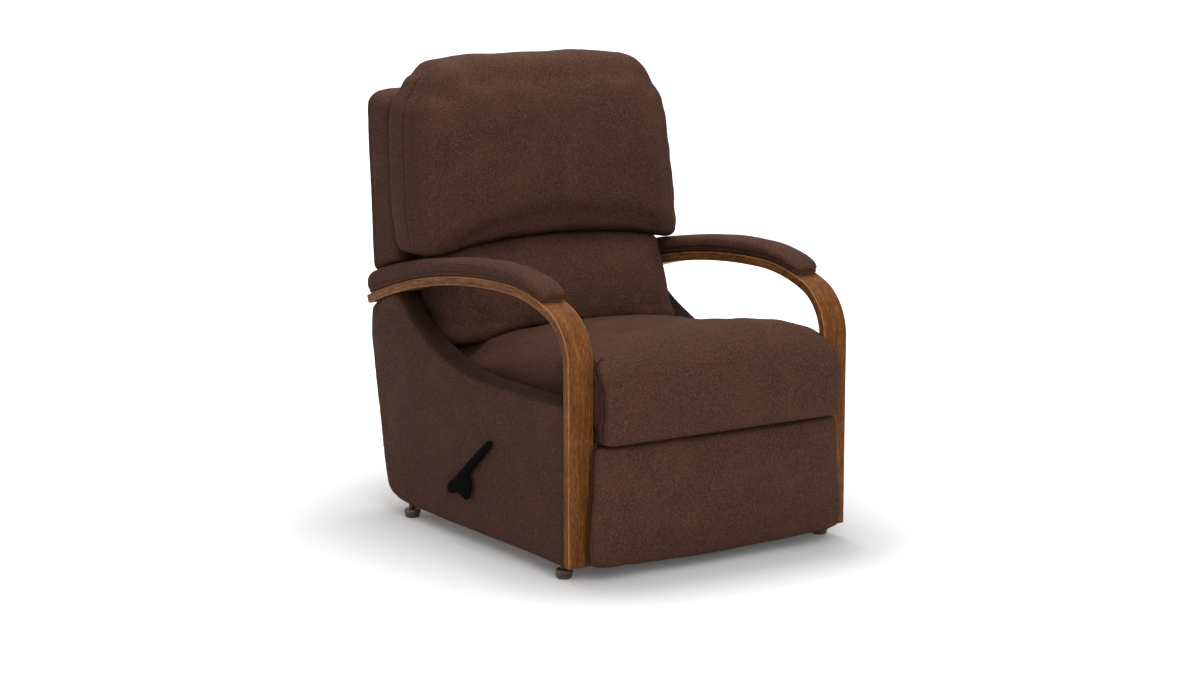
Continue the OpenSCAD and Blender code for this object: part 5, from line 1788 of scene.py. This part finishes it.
@dataclass
class CreviceFlap:
    """Hide that hangs from the lumbar cushion behind the seat and closes the gap in recline."""

    top: float = 0.448
    low: float = 0.325
    depth: float = 0.2215
    thick: float = 0.004
    half: float = 0.276
    bow: float = 0.004
    sway: float = 0.0025
    across: int = 48
    down: int = 16

    def build(self) -> None:
        """Makes the flap as one soft sheet with a rolled lower hem."""
        across, down = self.across, self.down
        points, faces, ripple = [], [], Ripple(91, 0.05, 0.12)
        for layer in (0, 1):
            for j in range(down + 1):
                share = j / down
                bowed = self.depth + self.bow * math.sin(math.pi * share)
                for i in range(across + 1):
                    x = self.half * (2 * i / across - 1)
                    y = bowed - self.thick * (0.5 - layer)
                    points.append((x, y, self.top + (self.low - self.top) * share))
        wave = ripple.at(np.array(points))
        points = [(x, y + self.sway * w * (self.top - z) / (self.top - self.low), z)
                  for (x, y, z), w in zip(points, wave)]
        row, sheet = across + 1, (across + 1) * (down + 1)
        for j in range(down):
            for i in range(across):
                a = j * row + i
                faces += [(a, a + 1, a + row + 1, a + row),
                          (sheet + a, sheet + a + row, sheet + a + row + 1, sheet + a + 1)]
        rim = [(a + i, a + i + 1) for a in (0, down * row) for i in range(across)]
        rim += [(a + j * row, a + j * row + row) for a in (0, across) for j in range(down)]
        faces += [(a, b, sheet + b, sheet + a) for a, b in rim]
        piece = from_faces("crevice_flap", points, faces, FINISH.hide)
        smooth = piece.modifiers.new("smooth", "SUBSURF")
        smooth.levels = smooth.render_levels = 1
        dress(piece, "back")


@dataclass
class Lever:
    """The moulded lever that opens the legrest: a grip that runs out into a heart-shaped hub."""

    voxel: float = 0.0012
    middle: float = -0.3695
    half_thick: float = 0.0074
    softness: int = 8
    limbs: tuple[tuple[tuple[float, float, float], ...], ...] = (
        ((-0.103, 0.2420, 0.0088), (-0.020, 0.1770, 0.0112), (0.013, 0.1485, 0.0122)),
        ((0.013, 0.1485, 0.0122), (-0.009, 0.1410, 0.0155), (-0.008, 0.1185, 0.0158),
         (0.027, 0.1270, 0.0140)),
        ((0.013, 0.1485, 0.0122), (0.056, 0.1170, 0.0128), (0.027, 0.1270, 0.0140)),
    )

    def build(self) -> None:
        """Joins rounded limbs into one soft moulding."""
        work = bmesh.new()
        for limb in self.limbs:
            made = []
            for y, z, radius in limb:
                flat = Matrix.Diagonal((self.half_thick / radius, 1, 1, 1))
                there = Matrix.Translation((self.middle, y, z)) @ flat
                made += bmesh.ops.create_uvsphere(work, u_segments=20, v_segments=12,
                                                  radius=radius, matrix=there)["verts"]
            bmesh.ops.convex_hull(work, input=made)
        mesh = bpy.data.meshes.new("lever")
        work.to_mesh(mesh)
        work.free()
        piece = new_object("lever_moulding", mesh)
        reskin(piece, self.voxel, self.softness, FINISH.by_slot[Slot.LEVER])
        piece.data.polygons.foreach_set("use_smooth", [True] * len(piece.data.polygons))
        dress(piece, "handle")
        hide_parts("handle_lever", "handle_screw")
        LOG.info("%s: %d faces", piece.name, len(piece.data.polygons))


class Fittings:
    """The frame's own solids that stay in sight: boards, rails, links, springs and screws."""

    def dress_all(self) -> None:
        """Gives each solid the finish of its slot."""
        slots = {part["node"]: part["material_slot"] for part in FRAME["record"]["subparts"]}
        for name, piece in FRAME["nodes"].items():
            finish = FINISH.by_slot[Slot(slots[name])]
            if name.startswith("side_board"):
                finish = FINISH.plywood
            piece.data.materials.clear()
            piece.data.materials.append(finish)
        LOG.info("%d solids dressed", len(FRAME["nodes"]))


# ---------------------------------------------------------------- room, light, camera


@dataclass(frozen=True)
class Viewpoint:
    """The camera that the photograph's straight edges give."""

    place: tuple[float, float, float] = (-3.27166, -4.87204, 1.47401)
    right: tuple[float, float, float] = (0.831561, -0.555434, 0.000108)
    up: tuple[float, float, float] = (0.098060, 0.147000, 0.984264)
    back: tuple[float, float, float] = (-0.546709, -0.818465, 0.176705)
    lens: float = 80.80
    sensor: float = 36.0

    def build(self) -> None:
        """Makes the camera and gives it to the scene."""
        data = bpy.data.cameras.new("camera")
        data.lens, data.sensor_width, data.sensor_fit = self.lens, self.sensor, "HORIZONTAL"
        data.clip_start, data.clip_end = 0.1, 100
        camera = bpy.data.objects.new("camera", data)
        bpy.context.scene.collection.objects.link(camera)
        turn = Matrix((self.right, self.up, self.back)).transposed().to_4x4()
        camera.matrix_world = Matrix.Translation(self.place) @ turn
        bpy.context.scene.camera = camera


@dataclass(frozen=True)
class Softbox:
    """A square lamp that faces a point."""

    name: str
    place: tuple[float, float, float]
    aim: tuple[float, float, float]
    size: float
    power: float

    def build(self) -> None:
        """Makes the lamp."""
        data = bpy.data.lights.new(self.name, "AREA")
        data.size, data.energy = self.size, self.power
        lamp = bpy.data.objects.new(self.name, data)
        bpy.context.scene.collection.objects.link(lamp)
        lamp.location = self.place
        way = Vector(self.aim) - Vector(self.place)
        lamp.rotation_euler = way.to_track_quat("-Z", "Y").to_euler()


@dataclass
class Studio:
    """White floor and air, seen as white by the camera and in reflections."""

    reach: float = 40.0
    ambient: float = 0.50
    tints: tuple[Rgb, Rgb] = ((0.86, 0.86, 0.86), (0.85, 0.85, 0.85))
    white: tuple[float, float] = (0.50, 1.5)
    least_lift: float = 0.06
    lamps: tuple[Softbox, ...] = (
        Softbox("top_box", (0.15, 0.45, 3.3), (0.0, 0.0, 0.5), 1.5, 63.0),
        Softbox("front_box", (-1.2, -3.4, 2.3), (0.0, 0.0, 0.55), 2.6, 66.0),
    )

    @staticmethod
    def _seen(sheet: Sheet) -> Socket:
        """Returns 1 for rays from the camera, off a gloss or through glass."""
        rays = sheet.add("ShaderNodeLightPath")
        seen = sheet.math("MAXIMUM", rays.outputs["Is Camera Ray"], rays.outputs["Is Glossy Ray"])
        return sheet.math("MAXIMUM", seen, rays.outputs["Is Transmission Ray"])

    def _floor(self) -> None:
        """Makes the floor, white away from the chair and still shaded under it."""
        material = bpy.data.materials.new("white_floor")
        material.use_nodes = True
        sheet = Sheet(material.node_tree)
        vector = object_vector(sheet)
        away = sheet.add("ShaderNodeVectorMath", {0: vector}, operation="LENGTH").outputs["Value"]
        tint = sheet.blend(sheet.noise(vector, 0.8), *self.tints)
        shaded = sheet.add("ShaderNodeBsdfDiffuse", {"Color": tint})
        lift = sheet.spread(away, *self.white, self.least_lift, 1.0)
        glow = sheet.add("ShaderNodeEmission", {"Color": (1, 1, 1, 1), "Strength": sheet.math(
            "MULTIPLY", lift, self._seen(sheet))})
        both = sheet.add("ShaderNodeAddShader", {0: shaded.outputs[0], 1: glow.outputs[0]})
        sheet.add("ShaderNodeOutputMaterial", {"Surface": both.outputs[0]})
        r = self.reach
        corners = [(-r, -r, 0), (r, -r, 0), (r, r, 0), (-r, r, 0)]
        floor = from_faces("floor", corners, [(0, 1, 2, 3)], material)

    def _air(self) -> None:
        """Makes the world white to the camera and a plain pale grey to the chair."""
        world = bpy.data.worlds.new("air")
        world.use_nodes = True
        sheet = Sheet(world.node_tree)
        strength = sheet.math("MAXIMUM", self._seen(sheet), self.ambient)
        background = sheet.add("ShaderNodeBackground", {
            "Color": (1, 1, 1, 1), "Strength": strength})
        sheet.add("ShaderNodeOutputWorld", {"Surface": background.outputs[0]})
        bpy.context.scene.world = world

    def build(self) -> None:
        """Makes floor, air and lamps, and sets the plain view transform."""
        self._floor()
        self._air()
        for lamp in self.lamps:
            lamp.build()
        bpy.context.scene.view_settings.view_transform = "Standard"


def main() -> None:
    """Builds the chair piece by piece."""
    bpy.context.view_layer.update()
    Viewpoint().build()
    Studio().build()
    Fittings().dress_all()
    parts = [part(side) for side in Side for part in (PostFacing, BentArm, ArmPad, SidePanel)]
    parts += [part() for part in (SeatCushion, SeatApron, BackShell, BackPillow, LumbarCushion,
                                  CreviceFlap, Legrest, Lever)]
    for part in parts:
        part.build()
        LOG.info("%s is built", type(part).__name__)


if __name__ == "__main__":
    logging.basicConfig(level=logging.INFO, format="%(name)s: %(message)s")
    main()
